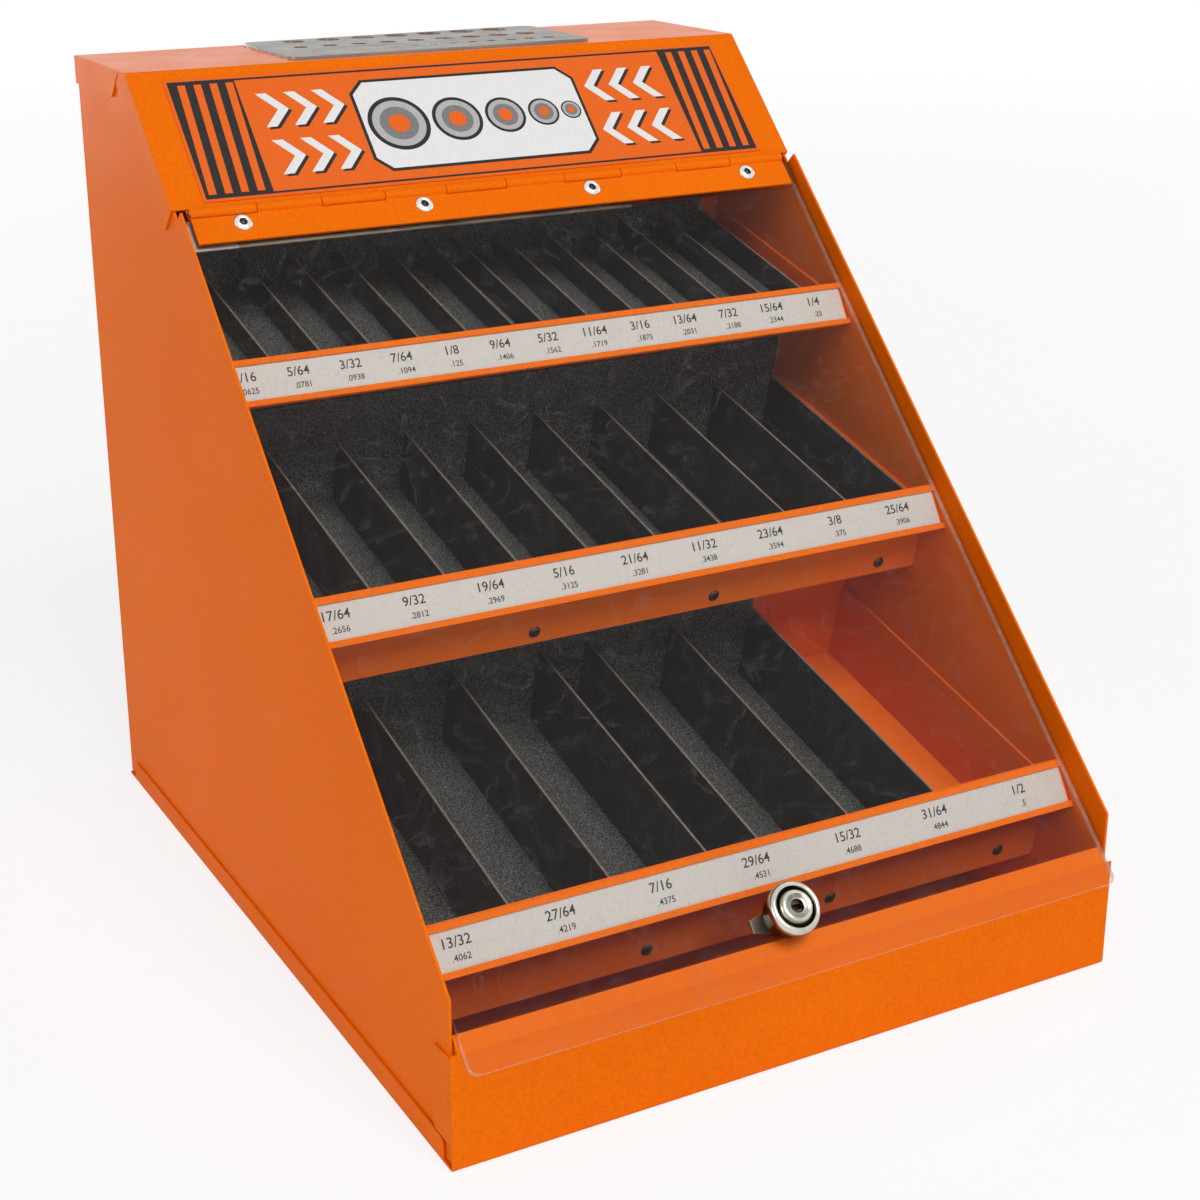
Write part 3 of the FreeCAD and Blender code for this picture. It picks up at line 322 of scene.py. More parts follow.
# %% Sign inks
SIGN_COLORS = {
    "orange": ((0.74, 0.118, 0.010), (0.80, 0.140, 0.013)),
    "black": ((0.014, 0.013, 0.013), (0.028, 0.026, 0.026)),
    "white": ((0.72, 0.71, 0.70), (0.80, 0.79, 0.78)),
    "pale grey": ((0.40, 0.39, 0.39), (0.47, 0.46, 0.46)),
    "grey": ((0.17, 0.165, 0.165), (0.22, 0.215, 0.215)),
}
sign_inks = {name: make_ink(f"sign {name}", *pair) for name, pair in SIGN_COLORS.items()}
print(f"made {len(sign_inks)} sign inks")

# %% [markdown]
# A solid's edges are mathematically sharp, and such edges never catch the light. Real sheet metal has
# a small radius on every edge, thicker still under paint. So each piece gets a copy: near points are
# welded, flat facets are merged, and a Bevel modifier rounds the edges by a few tenths of a
# millimetre. A Weighted Normal modifier keeps the large flat faces flat to the light.

# %% A finished copy of a piece
WELD = 0.000002
FLAT_ANGLE = math.radians(0.3)
SHARP_ANGLE = math.radians(28)


def merged_mesh(node):
    """The piece's mesh with its facets merged to whole faces."""
    mesh = frame["nodes"][node].data.copy()
    mesh.materials.clear()
    shape = bmesh.new()
    shape.from_mesh(mesh)
    bmesh.ops.remove_doubles(shape, verts=shape.verts, dist=WELD)
    bmesh.ops.dissolve_limit(shape, angle_limit=FLAT_ANGLE, verts=shape.verts, edges=shape.edges)
    for face in shape.faces:
        face.smooth = True
    shape.to_mesh(mesh)
    shape.free()
    return mesh


def place_piece(name, mesh, body, finishes):
    """Puts a mesh in the scene on its body, with its finishes."""
    piece = bpy.data.objects.new(name, mesh)
    bpy.context.scene.collection.objects.link(piece)
    for finish in finishes:
        mesh.materials.append(finish)
    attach(piece, body)
    return piece


def round_edges(piece, radius, segments=2):
    """Rounds every sharp edge of a piece."""
    bevel = piece.modifiers.new("rounded edges", "BEVEL")
    bevel.width = radius
    bevel.segments = segments
    bevel.limit_method = "ANGLE"
    bevel.angle_limit = SHARP_ANGLE
    weighted = piece.modifiers.new("flat faces stay flat", "WEIGHTED_NORMAL")
    weighted.weight = 100
    return piece


def finish_piece(node, finishes, radius):
    """A finished copy that stands for a piece of the solid part."""
    solid = frame["nodes"][node]
    piece = place_piece(f"{node}_finished", merged_mesh(node), solid["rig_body"], finishes)
    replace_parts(piece, node)
    return round_edges(piece, radius)


print("pieces can now be finished")

# %% [markdown]
# The cabinet is folded from 1.2 mm sheet: two side panels, a base with its front panel, a hood and a
# back. The trays are folded the same way, and all of them are coated orange in one go. They take the
# same finish and the same small radius.

# %% Orange sheet metal
ORANGE_PIECES = (
    "left_side_panel",
    "right_side_panel",
    "base_pan",
    "back_panel",
    "hood",
    "upper_tray",
    "middle_tray",
    "lower_tray",
    "hinge_fixed_leaf",
    "hinge_cover_leaf",
)
SHEET_RADIUS = 0.3 * MM
for node in ORANGE_PIECES:
    finish_piece(node, [powder_coat], SHEET_RADIUS)
print(f"{len(ORANGE_PIECES)} orange pieces are finished")

# %% [markdown]
# Some details have to lie on a sloping face: numbers on the labels, the sign, the rivets. Each needs
# to know where that face is and which way it looks. The face is found on the solid itself: of all the
# flat parts that look the right way, the largest one. So the details follow if the part is ever
# rebuilt at another size.

# %% Find a flat face
def face_frame(node, toward, least=0.8):
    """The place of a piece's largest flat face toward a direction, with its width and height."""
    mesh = frame["nodes"][node].data
    groups = {}
    for polygon in mesh.polygons:
        normal = polygon.normal
        if normal.dot(toward) > least:
            distance = normal.dot(mesh.vertices[polygon.vertices[0]].co)
            key = tuple(round(part, 2) for part in normal) + (round(distance / MM, 1),)
            groups.setdefault(key, []).append(polygon)
    faces = max(groups.values(), key=lambda group: sum(face.area for face in group))
    out = faces[0].normal.copy()
    right = (RIGHT - out * RIGHT.dot(out)).normalized()
    up = out.cross(right)
    points = [mesh.vertices[index].co for face in faces for index in face.vertices]
    spans = [(min(p.dot(axis) for p in points), max(p.dot(axis) for p in points)) for axis in (right, up)]
    level = out.dot(points[0])
    middle = right * sum(spans[0]) / 2 + up * sum(spans[1]) / 2 + out * level
    place = Matrix.Translation(middle) @ Matrix((right, up, out)).transposed().to_4x4()
    return place, spans[0][1] - spans[0][0], spans[1][1] - spans[1][0]


sign_place, sign_width, sign_height = face_frame("sign_plate", FORWARD_UP)
print(f"the sign face is {sign_width / MM:.0f} by {sign_height / MM:.0f} mm")

# %% [markdown]
# Each liner is one folded sheet of black plastic, and plates stand on it. On the plates' upper edges
# the black has rubbed through, and there they face the light. The narrow faces that look up, square to
# the tray's floor, are picked out by their direction and given the lighter finish: wear and a painted
# highlight.

# %% Liners and dividers
LINER_RADIUS = 0.25 * MM
LOOKS_UP = 0.35
for tray in ("upper", "middle", "lower"):
    # A liner's black back upstand stands partly for the deep shade under the tray above: painted shade.
    finish_piece(f"{tray}_liner", [liner_black_painted_sheen], LINER_RADIUS)
    plates = finish_piece(f"{tray}_dividers", [divider_black, edge_worn_and_painted_lit], LINER_RADIUS)
    floor_place, _, _ = face_frame(f"{tray}_liner", Vector((0, 0, 1)))
    floor_up = floor_place.col[2].to_3d()
    # Faces that look up take the lighter edge finish, worn and painted lit.
    worn_and_lit = [face for face in plates.data.polygons if face.normal.dot(floor_up) > LOOKS_UP]
    for face in worn_and_lit:
        face.material_index = 1
    print(f"{tray} tray: {len(worn_and_lit)} faces on the plates' upper edges are worn")

# %% [markdown]
# The other plain pieces only differ in finish and in how large their edge radius is: the card strips,
# the gauge plate with its punched holes, the hinge pin, the trays' rivets and the parts of the lock
# behind the cover.

# %% Plain pieces in other finishes
OTHER_PIECES = {
    "upper_label_strip": (label_card, 0.05 * MM),
    "middle_label_strip": (label_card, 0.05 * MM),
    "lower_label_strip": (label_card, 0.05 * MM),
    "gauge_plate": (gauge_steel, 0.2 * MM),
    "hinge_pin": (pin_steel, 0.3 * MM),
    "tray_rivets": (black_metal_and_painted_shade, 0.15 * MM),
    "lock_nut": (zinc_plate, 0.2 * MM),
    "lock_cam": (zinc_plate, 0.2 * MM),
    "cam_screw": (zinc_plate, 0.15 * MM),
    # The plug is black as painted shade, where it shows through the key hole.
    "lock_plug": (black_metal_and_painted_shade, 0.2 * MM),
}
for node, (finish, radius) in OTHER_PIECES.items():
    finish_piece(node, [finish], radius)
print(f"{len(OTHER_PIECES)} plain pieces are finished")

# %% [markdown]
# The clear cover is one sheet, but its broad faces and its sawn edges look quite different. Faces that
# look along the sheet's own thickness keep the clear finish, and all others take the edge finish.

# %% Clear cover
BROADSIDE = 0.7
cover_place, cover_width, cover_length = face_frame("clear_cover", FORWARD_UP)
cover_out = cover_place.col[2].to_3d()
cover = finish_piece("clear_cover", [clear_acrylic, acrylic_edge], 0.25 * MM)
for face in cover.data.polygons:
    face.material_index = 0 if abs(face.normal.dot(cover_out)) > BROADSIDE else 1
print(f"the cover is {cover_width / MM:.0f} by {cover_length / MM:.0f} mm")

# %% [markdown]
# A flat bar is riveted in behind the hinge leaf. It is dull and brownish, and its end at the left is
# painted brighter as a highlight. The faces nearest that end take the bright finish.

# %% Strip behind the hinge
BRIGHT_END = 20 * MM
strip = finish_piece("backing_strip", [dull_aluminium, aluminium_painted_highlight], 0.15 * MM)
strip_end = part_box("backing_strip")[0][0]
strip_shape = bmesh.new()
strip_shape.from_mesh(strip.data)
bmesh.ops.bisect_plane(
    strip_shape,
    geom=strip_shape.verts[:] + strip_shape.edges[:] + strip_shape.faces[:],
    plane_co=(strip_end + BRIGHT_END, 0, 0),
    plane_no=RIGHT,
)
# Faces near the left end take the painted highlight.
for face in strip_shape.faces:
    face.material_index = 1 if face.calc_center_median().x < strip_end + BRIGHT_END else 0
strip_shape.to_mesh(strip.data)
strip_shape.free()
print(f"the strip's first {BRIGHT_END / MM:.0f} mm are bright")

# %% [markdown]
# Turned shapes such as rivets are easiest from a profile that is swept round an axis. The profile is a
# short list of points. Each has a radius and a height in millimetres, and the number of the finish that
# the ring from there to the next point takes.

# %% Sweep a profile round an axis
def turned_mesh(name, profile, steps=40):
    """A turned shape about Z from radius, height and finish of each point of its profile."""
    shape = bmesh.new()
    rings = []
    for radius, height, _ in profile:
        count = steps if radius > 0 else 1
        ring = []
        for step in range(count):
            turn = math.tau * step / steps
            spot = Vector((radius * math.cos(turn), radius * math.sin(turn), height)) * MM
            ring.append(shape.verts.new(spot))
        rings.append(ring)
    for point, inner, outer in zip(profile, rings, rings[1:]):
        for step in range(steps):
            after = (step + 1) % steps
            if len(inner) == 1:
                corners = (inner[0], outer[step], outer[after])
            elif len(outer) == 1:
                corners = (inner[step], outer[0], inner[after])
            else:
                corners = (inner[step], outer[step], outer[after], inner[after])
            face = shape.faces.new(corners)
            face.smooth = True
            face.material_index = point[2]
    bmesh.ops.recalc_face_normals(shape, faces=shape.faces)
    mesh = bpy.data.meshes.new(name)
    shape.to_mesh(mesh)
    shape.free()
    return mesh


print("turned shapes can be made")

# %% [markdown]
# Four blind rivets hold the hinge leaf to the cover. A blind rivet has a low domed head with a hole in
# its middle, where the mandrel broke off: a bright ring round a dark spot, and the hole is painted black
# as shade. The solid's rivets tell where the heads sit, one loose part each.

# %% Blind rivets
def loose_middles(node):
    """The middle of each separate part of a piece."""
    shape = bmesh.new()
    shape.from_mesh(frame["nodes"][node].data)
    bmesh.ops.remove_doubles(shape, verts=shape.verts, dist=WELD)
    waiting = set(shape.verts)
    middles = []
    while waiting:
        reached = [waiting.pop()]
        for vertex in reached:
            for edge in vertex.link_edges:
                other = edge.other_vert(vertex)
                if other in waiting:
                    waiting.discard(other)
                    reached.append(other)
        spans = [[vertex.co[axis] for vertex in reached] for axis in range(3)]
        middles.append(Vector([(min(span) + max(span)) / 2 for span in spans]))
    shape.free()
    return sorted(middles, key=lambda middle: middle.x)


def join_meshes(name, meshes):
    """One mesh of several, each already in place."""
    shape = bmesh.new()
    for mesh in meshes:
        shape.from_mesh(mesh)
        bpy.data.meshes.remove(mesh)
    joined = bpy.data.meshes.new(name)
    shape.to_mesh(joined)
    shape.free()
    return joined


# The rivet's hole takes black metal as painted shade.
HEAD, SHADED_HOLE = range(2)
RIVET_PROFILE = (
    (0, -0.5, SHADED_HOLE),
    (1.5, -0.5, SHADED_HOLE),
    (1.65, 0.9, HEAD),
    (1.9, 1.15, HEAD),
    (2.5, 1.2, HEAD),
    (3.3, 0.95, HEAD),
    (3.9, 0.45, HEAD),
    (4.1, 0.12, HEAD),
    (4.05, 0.0, HEAD),
    (1.6, 0.0, HEAD),
    (1.6, -4.4, HEAD),
    (0, -4.4, HEAD),
)
leaf_place, _, _ = face_frame("hinge_cover_leaf", cover_out, least=0.99)
heads = []
for middle in loose_middles("cover_rivets"):
    across = leaf_place.inverted() @ middle
    head = turned_mesh("rivet", RIVET_PROFILE)
    head.transform(leaf_place @ Matrix.Translation((across.x, across.y, 0)))
    heads.append(head)
blind_rivets = place_piece(
    "blind_rivets",
    join_meshes("blind_rivets", heads),
    "cover",
    [rivet_aluminium, black_metal_and_painted_shade],
)
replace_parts(blind_rivets, "cover_rivets")
print(f"{len(heads)} rivet heads are in place")

# %% [markdown]
# The lock is chrome plated: a bezel with a rolled rim, a deep groove, and inside it the round head of
# the plug with a round hole for the key. Chrome only mirrors what is round it, so its light and shade
# are painted here: the rings of each profile take a lighter chrome on the ridges, a darker chrome as
# painted shade in the grooves and on the sides, and black as painted shade deep in the groove and
# under the head. Both profiles keep the axis and the depth of the solid that they stand for, and the
# head turns with the plug.

# %% Bezel and key head of the lock
lock_joint = next(joint for joint in frame["joints"] if joint["name"] == "lock_turn")
lock_out = Vector(lock_joint["axis"]).normalized()
lock_right = (RIGHT - lock_out * RIGHT.dot(lock_out)).normalized()
lock_turned = Matrix((lock_right, lock_out.cross(lock_right), lock_out)).transposed().to_4x4()
lock_middle = Vector(lock_joint["pos_m"])
lock_foot = lock_middle.dot(lock_out)


def on_lock(level):
    """A place on the lock's axis whose height along it is that of a point of the solid."""
    return Matrix.Translation(lock_middle + lock_out * (level - lock_foot)) @ lock_turned


def front_level(node):
    """How far out along the lock's axis a piece reaches."""
    return max(vertex.co.dot(lock_out) for vertex in frame["nodes"][node].data.vertices)


# The three ring finishes: chrome painted light, chrome painted shade and black painted shade.
PAINTED_LIGHT, PAINTED_SHADE, BLACK_SHADE = range(3)
BEZEL_PROFILE = (
    (3.2, -15.6, PAINTED_LIGHT),
    (5.5, -15.6, PAINTED_SHADE),
    (5.5, -10.7, PAINTED_SHADE),
    (9.25, -10.7, PAINTED_SHADE),
    (9.25, -4.2, PAINTED_SHADE),
    (10.6, -4.1, PAINTED_SHADE),
    (10.75, -3.4, PAINTED_SHADE),
    (10.75, -1.6, PAINTED_LIGHT),
    (10.4, -0.6, PAINTED_LIGHT),
    (9.8, 0.1, PAINTED_LIGHT),
    (9.1, 0.35, PAINTED_LIGHT),
    (8.4, 0.1, PAINTED_SHADE),
    (8.0, -0.7, PAINTED_SHADE),
    (7.9, -1.3, PAINTED_SHADE),
    (7.7, -1.9, BLACK_SHADE),
    (5.6, -1.9, BLACK_SHADE),
    (5.6, -5.8, BLACK_SHADE),
    (3.2, -5.8, BLACK_SHADE),
    (3.2, -15.6, PAINTED_LIGHT),
)
HEAD_PROFILE = (
    (2.7, 0.02, PAINTED_LIGHT),
    (2.75, 2.0, PAINTED_LIGHT),
    (3.1, 2.45, PAINTED_SHADE),
    (4.1, 2.1, PAINTED_SHADE),
    (4.9, 2.5, PAINTED_LIGHT),
    (5.6, 2.65, PAINTED_LIGHT),
    (6.2, 2.2, PAINTED_SHADE),
    (6.8, 1.5, PAINTED_SHADE),
    (7.1, 0.3, PAINTED_SHADE),
    (7.1, -0.3, BLACK_SHADE),
    (5.6, -0.4, BLACK_SHADE),
)
lock_finishes = [chrome_painted_light, chrome_painted_shade, black_metal_and_painted_shade]
bezel = turned_mesh("lock_bezel", BEZEL_PROFILE, steps=64)
bezel.transform(on_lock(front_level("lock_housing")))
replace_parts(place_piece("lock_bezel", bezel, "cover", lock_finishes), "lock_housing")
key_head = turned_mesh("key_head", HEAD_PROFILE, steps=64)
key_head.transform(on_lock(front_level("lock_plug")))
place_piece("key_head", key_head, "lock_barrel", lock_finishes)
print("the lock has its bezel and its key head")

# %% [markdown]
# The labels carry plain sizes: a fraction of an inch above, and the same as a decimal below. Every bin
# of the upper tray is one 64th larger than the one before. Text objects use Blender's own font. They
# are turned into meshes, so that each strip's numbers become one thin printed layer. The table gives,
# for each tray, its smallest size in 64ths, the count of sizes, where the first one stands from the
# middle of the strip, and the pitch, both in millimetres.

# %% Numbers on the label strips
INK_THICK = 0.03 * MM
CAP_SHARE = 0.70
BOLDER = 0.012


def fraction_words(parts):
    """A number of 64ths as the shortest fraction of an inch, and as a decimal."""
    common = math.gcd(parts, 64)
    return f"{parts // common}/{64 // common}", f"{parts / 64:.4f}".rstrip("0").lstrip("0")


def text_mesh(words, height, place):
    """Words of that height as a thin mesh, centred on a place."""
    curve = bpy.data.curves.new("number", "FONT")
    curve.body = words
    curve.size = height / CAP_SHARE
    curve.align_x = "CENTER"
    curve.align_y = "CENTER"
    curve.extrude = INK_THICK
    curve.offset = height * BOLDER
    curve.resolution_u = 3
    text = bpy.data.objects.new("number", curve)
    bpy.context.scene.collection.objects.link(text)
    bpy.context.view_layer.update()
    mesh = bpy.data.meshes.new_from_object(text)
    bpy.data.objects.remove(text)
    bpy.data.curves.remove(curve)
    mesh.transform(place)
    return mesh


FRACTION_HEIGHT = 3.9 * MM
DECIMAL_HEIGHT = 2.5 * MM
FRACTION_RISE = 0.14
DECIMAL_RISE = -0.19
DECIMAL_ASIDE = 1.0
LABELS = {
    "upper": (4, 13, -143.0, 23.0),
    "middle": (17, 9, -139.0, 33.4),
    "lower": (26, 7, -135.3, 43.4),
}
for tray, (first, count, start, pitch) in LABELS.items():
    strip_place, _, strip_height = face_frame(f"{tray}_label_strip", FORWARD_UP)
    printed = []
    for number in range(count):
        fraction, decimal = fraction_words(first + number)
        across = (start + number * pitch) * MM
        rows = (
            (fraction, FRACTION_HEIGHT, FRACTION_RISE, 0.0),
            (decimal, DECIMAL_HEIGHT, DECIMAL_RISE, DECIMAL_ASIDE),
        )
        for words, height, rise, aside in rows:
            spot = Matrix.Translation((across + aside * MM, rise * strip_height, INK_THICK))
            printed.append(text_mesh(words, height, strip_place @ spot))
    numbers = join_meshes(f"{tray}_numbers", printed)
    place_piece(f"{tray}_numbers", numbers, "cabinet", [number_ink])
    print(f"{tray} label: {count} sizes printed")

# %% [markdown]
# The sign is a thin printed plate. Its design here is a plain one in the same colours: a white panel
# with graded discs like the holes of a size gauge, arrowheads on orange, and slanted stripes at both
# ends. Each layer of ink is a thin raised shape, and higher layers cover lower ones.

# %% Shapes for the sign
LAYER = 0.06 * MM


def raise_shapes(name, ink, shapes, layer):
    """One printed layer: flat outlines in millimetres on the sign face, raised a little."""
    shape = bmesh.new()
    for outline in shapes:
        corners = [shape.verts.new((x * MM, y * MM, 0)) for x, y in outline]
        face = shape.faces.new(corners)
        if face.normal.z < 0:
            face.normal_flip()
    raised = bmesh.ops.extrude_face_region(shape, geom=shape.faces[:])
    lifted = [item for item in raised["geom"] if isinstance(item, bmesh.types.BMVert)]
    bmesh.ops.translate(shape, verts=lifted, vec=(0, 0, layer * LAYER))
    bmesh.ops.recalc_face_normals(shape, faces=shape.faces)
    mesh = bpy.data.meshes.new(name)
    shape.to_mesh(mesh)
    shape.free()
    mesh.transform(sign_place)
    return place_piece(name, mesh, "cabinet", [sign_inks[ink]])


def box_outline(left, right, low, high, slant=0.0, corner=0.0):
    """A four-sided outline, slanted or with cut corners."""
    if corner:
        return [
            (left + corner, low),
            (right - corner, low),
            (right, low + corner),
            (right, high - corner),
            (right - corner, high),
            (left + corner, high),
            (left, high - corner),
            (left, low + corner),
        ]
    return [(left, low), (right, low), (right + slant, high), (left + slant, high)]


def disc_outline(x, y, radius, steps=40):
    """A round outline."""
    turns = [math.tau * step / steps for step in range(steps)]
    return [(x + radius * math.cos(turn), y + radius * math.sin(turn)) for turn in turns]


def arrow_outline(x, y, reach, half, thick):
    """An arrowhead whose tip points along the reach."""
    return [
        (x, y + half),
        (x + thick, y + half),
        (x + thick + reach, y),
        (x + thick, y - half),
        (x, y - half),
        (x + reach, y),
    ]


print("sign shapes can be drawn")

# %% [markdown]
# Now the layers of the sign from the lowest to the highest. First come the border, a black block at each
# end with orange stripes on it, and the white panel with its black rim. All sizes are in millimetres.

# %% Print the border, end blocks, panel and stripes
MARGIN = 1.5
LINE = 1.0
END = 30
PANEL = (56, 25, 7)
PANEL_INSIDE = (54.5, 23.5, 6.2)
STRIPES = 4
STRIPE_PITCH = 7.2
STRIPE_WIDTH = 3.4
STRIPE_SLANT = 2.6
STRIPE_START = 1.6
STRIPE_MARGIN = 2


def panel_outline(wide, high, corner):
    """A panel with cut corners about the sign's middle, from half its width and half its height."""
    return box_outline(-wide, wide, -high, high, corner=corner)


EDGE = sign_width / MM / 2 - MARGIN
TOP = sign_height / MM / 2 - MARGIN
finish_piece("sign_plate", [sign_inks["orange"]], 0.1 * MM)
frame_lines = [
    box_outline(-EDGE, EDGE, TOP - LINE, TOP),
    box_outline(-EDGE, EDGE, -TOP, -TOP + LINE),
    box_outline(-EDGE, -EDGE + LINE, -TOP, TOP),
    box_outline(EDGE - LINE, EDGE, -TOP, TOP),
]
raise_shapes("sign_border", "black", frame_lines, 1)
end_blocks = [box_outline(-EDGE, -EDGE + END, -TOP, TOP), box_outline(EDGE - END, EDGE, -TOP, TOP)]
raise_shapes("sign_black_areas", "black", end_blocks + [panel_outline(*PANEL)], 2)
raise_shapes("sign_white_panel", "white", [panel_outline(*PANEL_INSIDE)], 3)
stripes = []
for side in (-1, 1):
    for number in range(STRIPES):
        left = side * (EDGE - END / 2) - END / 2 + STRIPE_START + number * STRIPE_PITCH
        right = left + STRIPE_WIDTH
        stripes.append(
            box_outline(left, right, -TOP + STRIPE_MARGIN, TOP - STRIPE_MARGIN, slant=STRIPE_SLANT)
        )
raise_shapes("sign_stripes", "orange", stripes, 3)
print(f"sign: border, end blocks, panel and {len(stripes)} stripes")

# %% [markdown]
# On the panel lie five discs that grow smaller to the right, each of four rounds of ink that step
# inward. Beside it three arrowheads in each of two rows point inward from both ends. A black copy of
# each arrowhead, a little lower and to the right, makes its shadow.

# %% Print the discs and arrowheads
DISCS = ((-38, 14.5), (-9.5, 12.0), (14.5, 9.8), (34, 7.6), (48.2, 5.0))
DISC_LAYERS = (
    ("sign_discs", "black", 1.0),
    ("sign_disc_rings", "pale grey", 0.86),
    ("sign_disc_steps", "grey", 0.62),
    ("sign_disc_middles", "orange", 0.34),
)
ARROW_START = 99
ARROW_PITCH = 13
ARROW_ROW = 12.5
ARROW_REACH = 8
ARROW_HALF = 9
ARROW_THICK = 5
SHADOW = 1.1
for layer, (name, ink, share) in enumerate(DISC_LAYERS, start=4):
    raise_shapes(name, ink, [disc_outline(x, 0, radius * share) for x, radius in DISCS], layer)
arrows = []
shadows = []
for side in (-1, 1):
    for row in (-1, 1):
        for number in range(3):
            x = side * (ARROW_START - number * ARROW_PITCH)
            arrow = arrow_outline(
                x, row * ARROW_ROW, -side * ARROW_REACH, ARROW_HALF, -side * ARROW_THICK
            )
            arrows.append(arrow)
            shadows.append([(across + SHADOW, up - SHADOW) for across, up in arrow])
raise_shapes("sign_arrow_shadows", "black", shadows, 2)
raise_shapes("sign_arrows", "white", arrows, 3)
print(f"sign: {len(DISCS)} discs and {len(arrows)} arrowheads")

# %% [markdown]
# The stage is a wide pale floor in front of an even, bright background, as on a catalogue page. The
# camera should see white there, while the object should get only a plain amount of light. The Light
# Path node tells the two apart: rays that come from the camera, from a gloss or through clear plastic
# see white, and the rays that carry light see less. The same helper serves floor and background.

# %% Which rays see the white
def seen_rays(tree):
    """One for rays from the camera, from a gloss or through a clear sheet, and zero for the others."""
    path = tree.nodes.new("ShaderNodeLightPath")
    either = tree.nodes.new("ShaderNodeMath")
    either.operation = "MAXIMUM"
    any_of_three = tree.nodes.new("ShaderNodeMath")
    any_of_three.operation = "MAXIMUM"
    tree.links.new(path.outputs["Is Camera Ray"], either.inputs[0])
    tree.links.new(path.outputs["Is Glossy Ray"], either.inputs[1])
    tree.links.new(either.outputs["Value"], any_of_three.inputs[0])
    tree.links.new(path.outputs["Is Transmission Ray"], any_of_three.inputs[1])
    return any_of_three.outputs["Value"]


print("rays can be told apart")

# %% [markdown]
# On the floor a fifth of the real shading stays near the object, and with it the soft shadow. Farther
# out that share fades, so that the floor runs into the background without a line.

# %% Floor
NEAR = 0.5
FAR = 3.0
WHITE_NEAR = 0.8
FLOOR_HALF = 14.0


def make_floor_finish():
    material, tree, shader = start_finish("pale floor", (0.86, 0.855, 0.85), 0.75)
    blend_colors(tree, shader, grain(tree, 3, detail=4), ((0.86, 0.855, 0.85), (0.90, 0.895, 0.89)))
    place = tree.nodes.new("ShaderNodeTexCoord")
    away = tree.nodes.new("ShaderNodeVectorMath")
    away.operation = "LENGTH"
    whiter = tree.nodes.new("ShaderNodeMapRange")
    whiter.inputs["From Min"].default_value = NEAR
    whiter.inputs["From Max"].default_value = FAR
    whiter.inputs["To Min"].default_value = WHITE_NEAR
    whiter.inputs["To Max"].default_value = 1.0
    share = tree.nodes.new("ShaderNodeMath")
    share.operation = "MULTIPLY"
    white = tree.nodes.new("ShaderNodeEmission")
    mix = tree.nodes.new("ShaderNodeMixShader")
    tree.links.new(place.outputs["Object"], away.inputs[0])
    tree.links.new(away.outputs["Value"], whiter.inputs["Value"])
    tree.links.new(seen_rays(tree), share.inputs[0])
    tree.links.new(whiter.outputs["Result"], share.inputs[1])
    tree.links.new(share.outputs["Value"], mix.inputs["Fac"])
    tree.links.new(shader.outputs["BSDF"], mix.inputs[1])
    tree.links.new(white.outputs["Emission"], mix.inputs[2])
    tree.links.new(mix.outputs["Shader"], tree.nodes["Material Output"].inputs["Surface"])
    return material


floor_mesh = bpy.data.meshes.new("floor")
floor_sides = ((-1, -1), (1, -1), (1, 1), (-1, 1))
floor_mesh.from_pydata([(x * FLOOR_HALF, y * FLOOR_HALF, 0) for x, y in floor_sides], [], [(0, 1, 2, 3)])
floor_mesh.materials.append(make_floor_finish())
floor = bpy.data.objects.new("floor", floor_mesh)
bpy.context.scene.collection.objects.link(floor)
floor.location.z = -0.3 * MM
print(f"the floor is {2 * FLOOR_HALF:.0f} m wide")

# %% [markdown]
# The world is the background behind the floor and a weak, even light from all round.

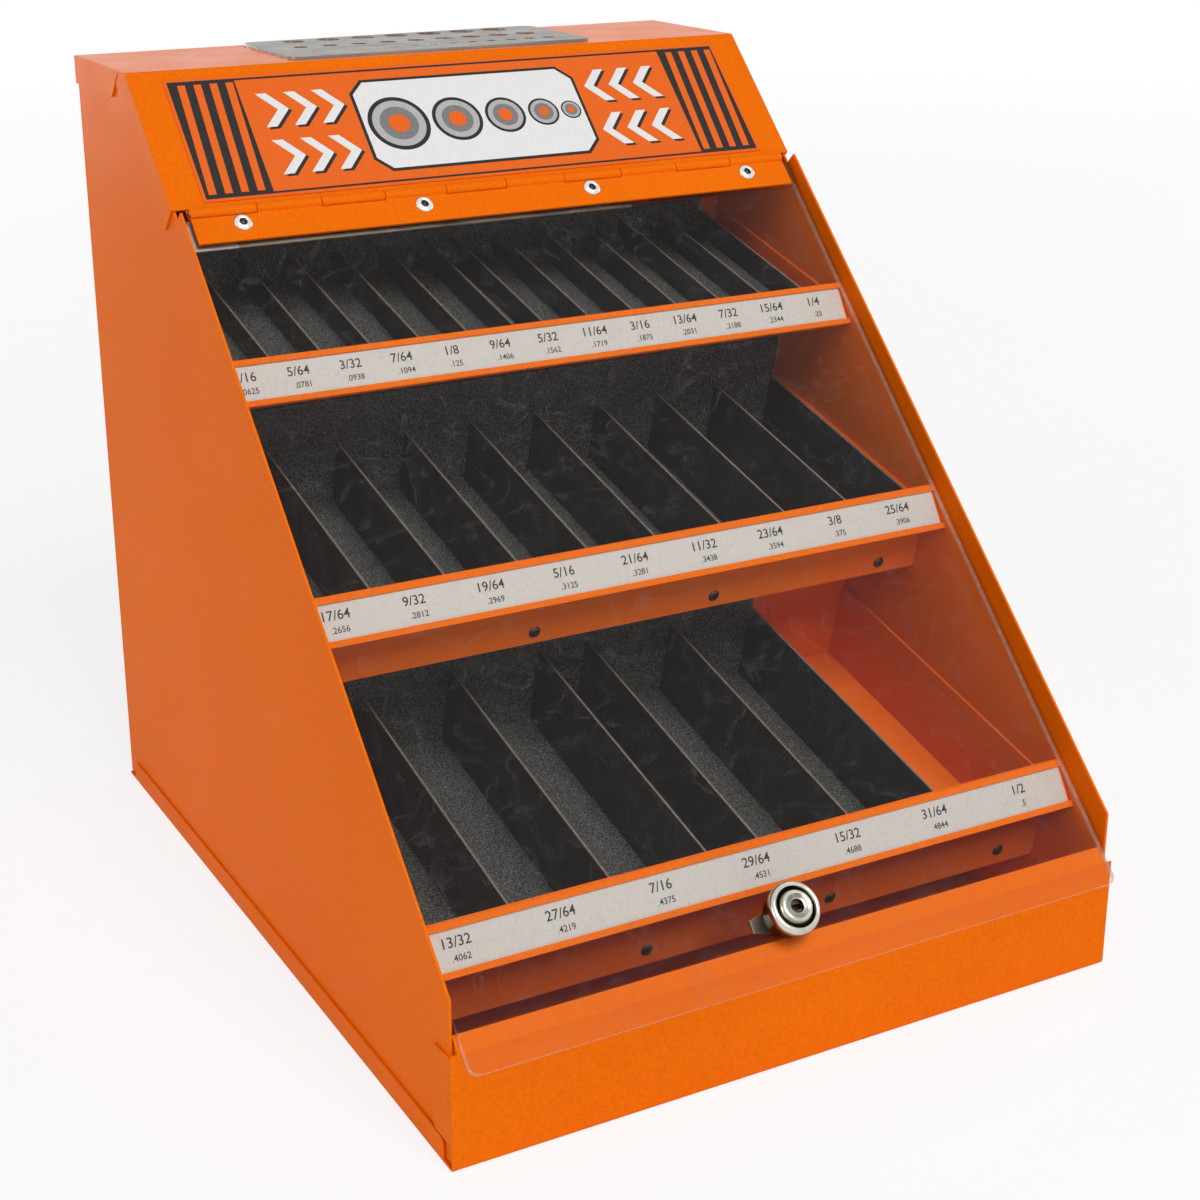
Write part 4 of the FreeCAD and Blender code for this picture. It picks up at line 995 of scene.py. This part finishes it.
# %% Background
AMBIENT = 0.22
world = bpy.data.worlds.new("white studio")
bpy.context.scene.world = world
world.use_nodes = True
sky = world.node_tree
sky_light = sky.nodes["Background"]
sky_light.inputs["Color"].default_value = (1, 1, 1, 1)
sky_level = sky.nodes.new("ShaderNodeMapRange")
sky_level.inputs["To Min"].default_value = AMBIENT
sky_level.inputs["To Max"].default_value = 1.0
sky.links.new(seen_rays(sky), sky_level.inputs["Value"])
sky.links.new(sky_level.outputs["Result"], sky_light.inputs["Strength"])
print(f"the world gives {AMBIENT} of white as light")

# %% [markdown]
# Four large, soft lamps model the shapes: a key from the upper front, which lights the front panel and
# reaches into the trays, and weaker ones from both sides and from behind. The side lamps stand level
# with the cabinet, so that its own sides keep them out of the trays. Large lamps give soft shadow
# edges. Each row of the table holds a lamp's place, its width in metres and its power in watts.

# %% Lamps
LAMPS = {
    "key": ((0.0, -1.7, 1.95), 1.1, 45.0),
    "left fill": ((-2.1, 0.1, 0.45), 1.1, 11.0),
    "right fill": ((2.1, 0.3, 0.45), 1.1, 12.0),
    "back fill": ((-0.7, 2.3, 0.4), 1.1, 14.0),
}
TARGET = Vector((0, 0, 0.16))
for name, (spot, width, power) in LAMPS.items():
    lamp = bpy.data.lights.new(name, "AREA")
    lamp.shape = "SQUARE"
    lamp.size = width
    lamp.energy = power
    holder = bpy.data.objects.new(name, lamp)
    holder.location = spot
    holder.rotation_euler = (TARGET - Vector(spot)).to_track_quat("-Z", "Y").to_euler()
    bpy.context.scene.collection.objects.link(holder)
    print(f"{name}: {power} W, {width} m wide")

# %% [markdown]
# The camera stands left of the object and above it, as in the photo: 28 degrees to the side and 19
# degrees up. Lens and distance were worked out from the cabinet's edges, whose lengths and right
# angles are known.

# %% Camera
camera_data = bpy.data.cameras.new("camera")
camera_data.lens = 64.0
camera_data.sensor_width = 36.0
camera_data.shift_x = 0.0333
camera_data.shift_y = -0.05
camera = bpy.data.objects.new("camera", camera_data)
turned = Matrix.Rotation(math.radians(-28.12), 4, "Z")
tipped = Matrix.Rotation(math.radians(90 - 19.37), 4, "X")
rolled = Matrix.Rotation(math.radians(-0.29), 4, "Z")
camera.matrix_world = Matrix.Translation((-0.4235, -0.7822, 0.4704)) @ turned @ tipped @ rolled
bpy.context.scene.collection.objects.link(camera)
bpy.context.scene.camera = camera
bpy.context.scene.view_settings.view_transform = "Standard"
print("the camera is set")
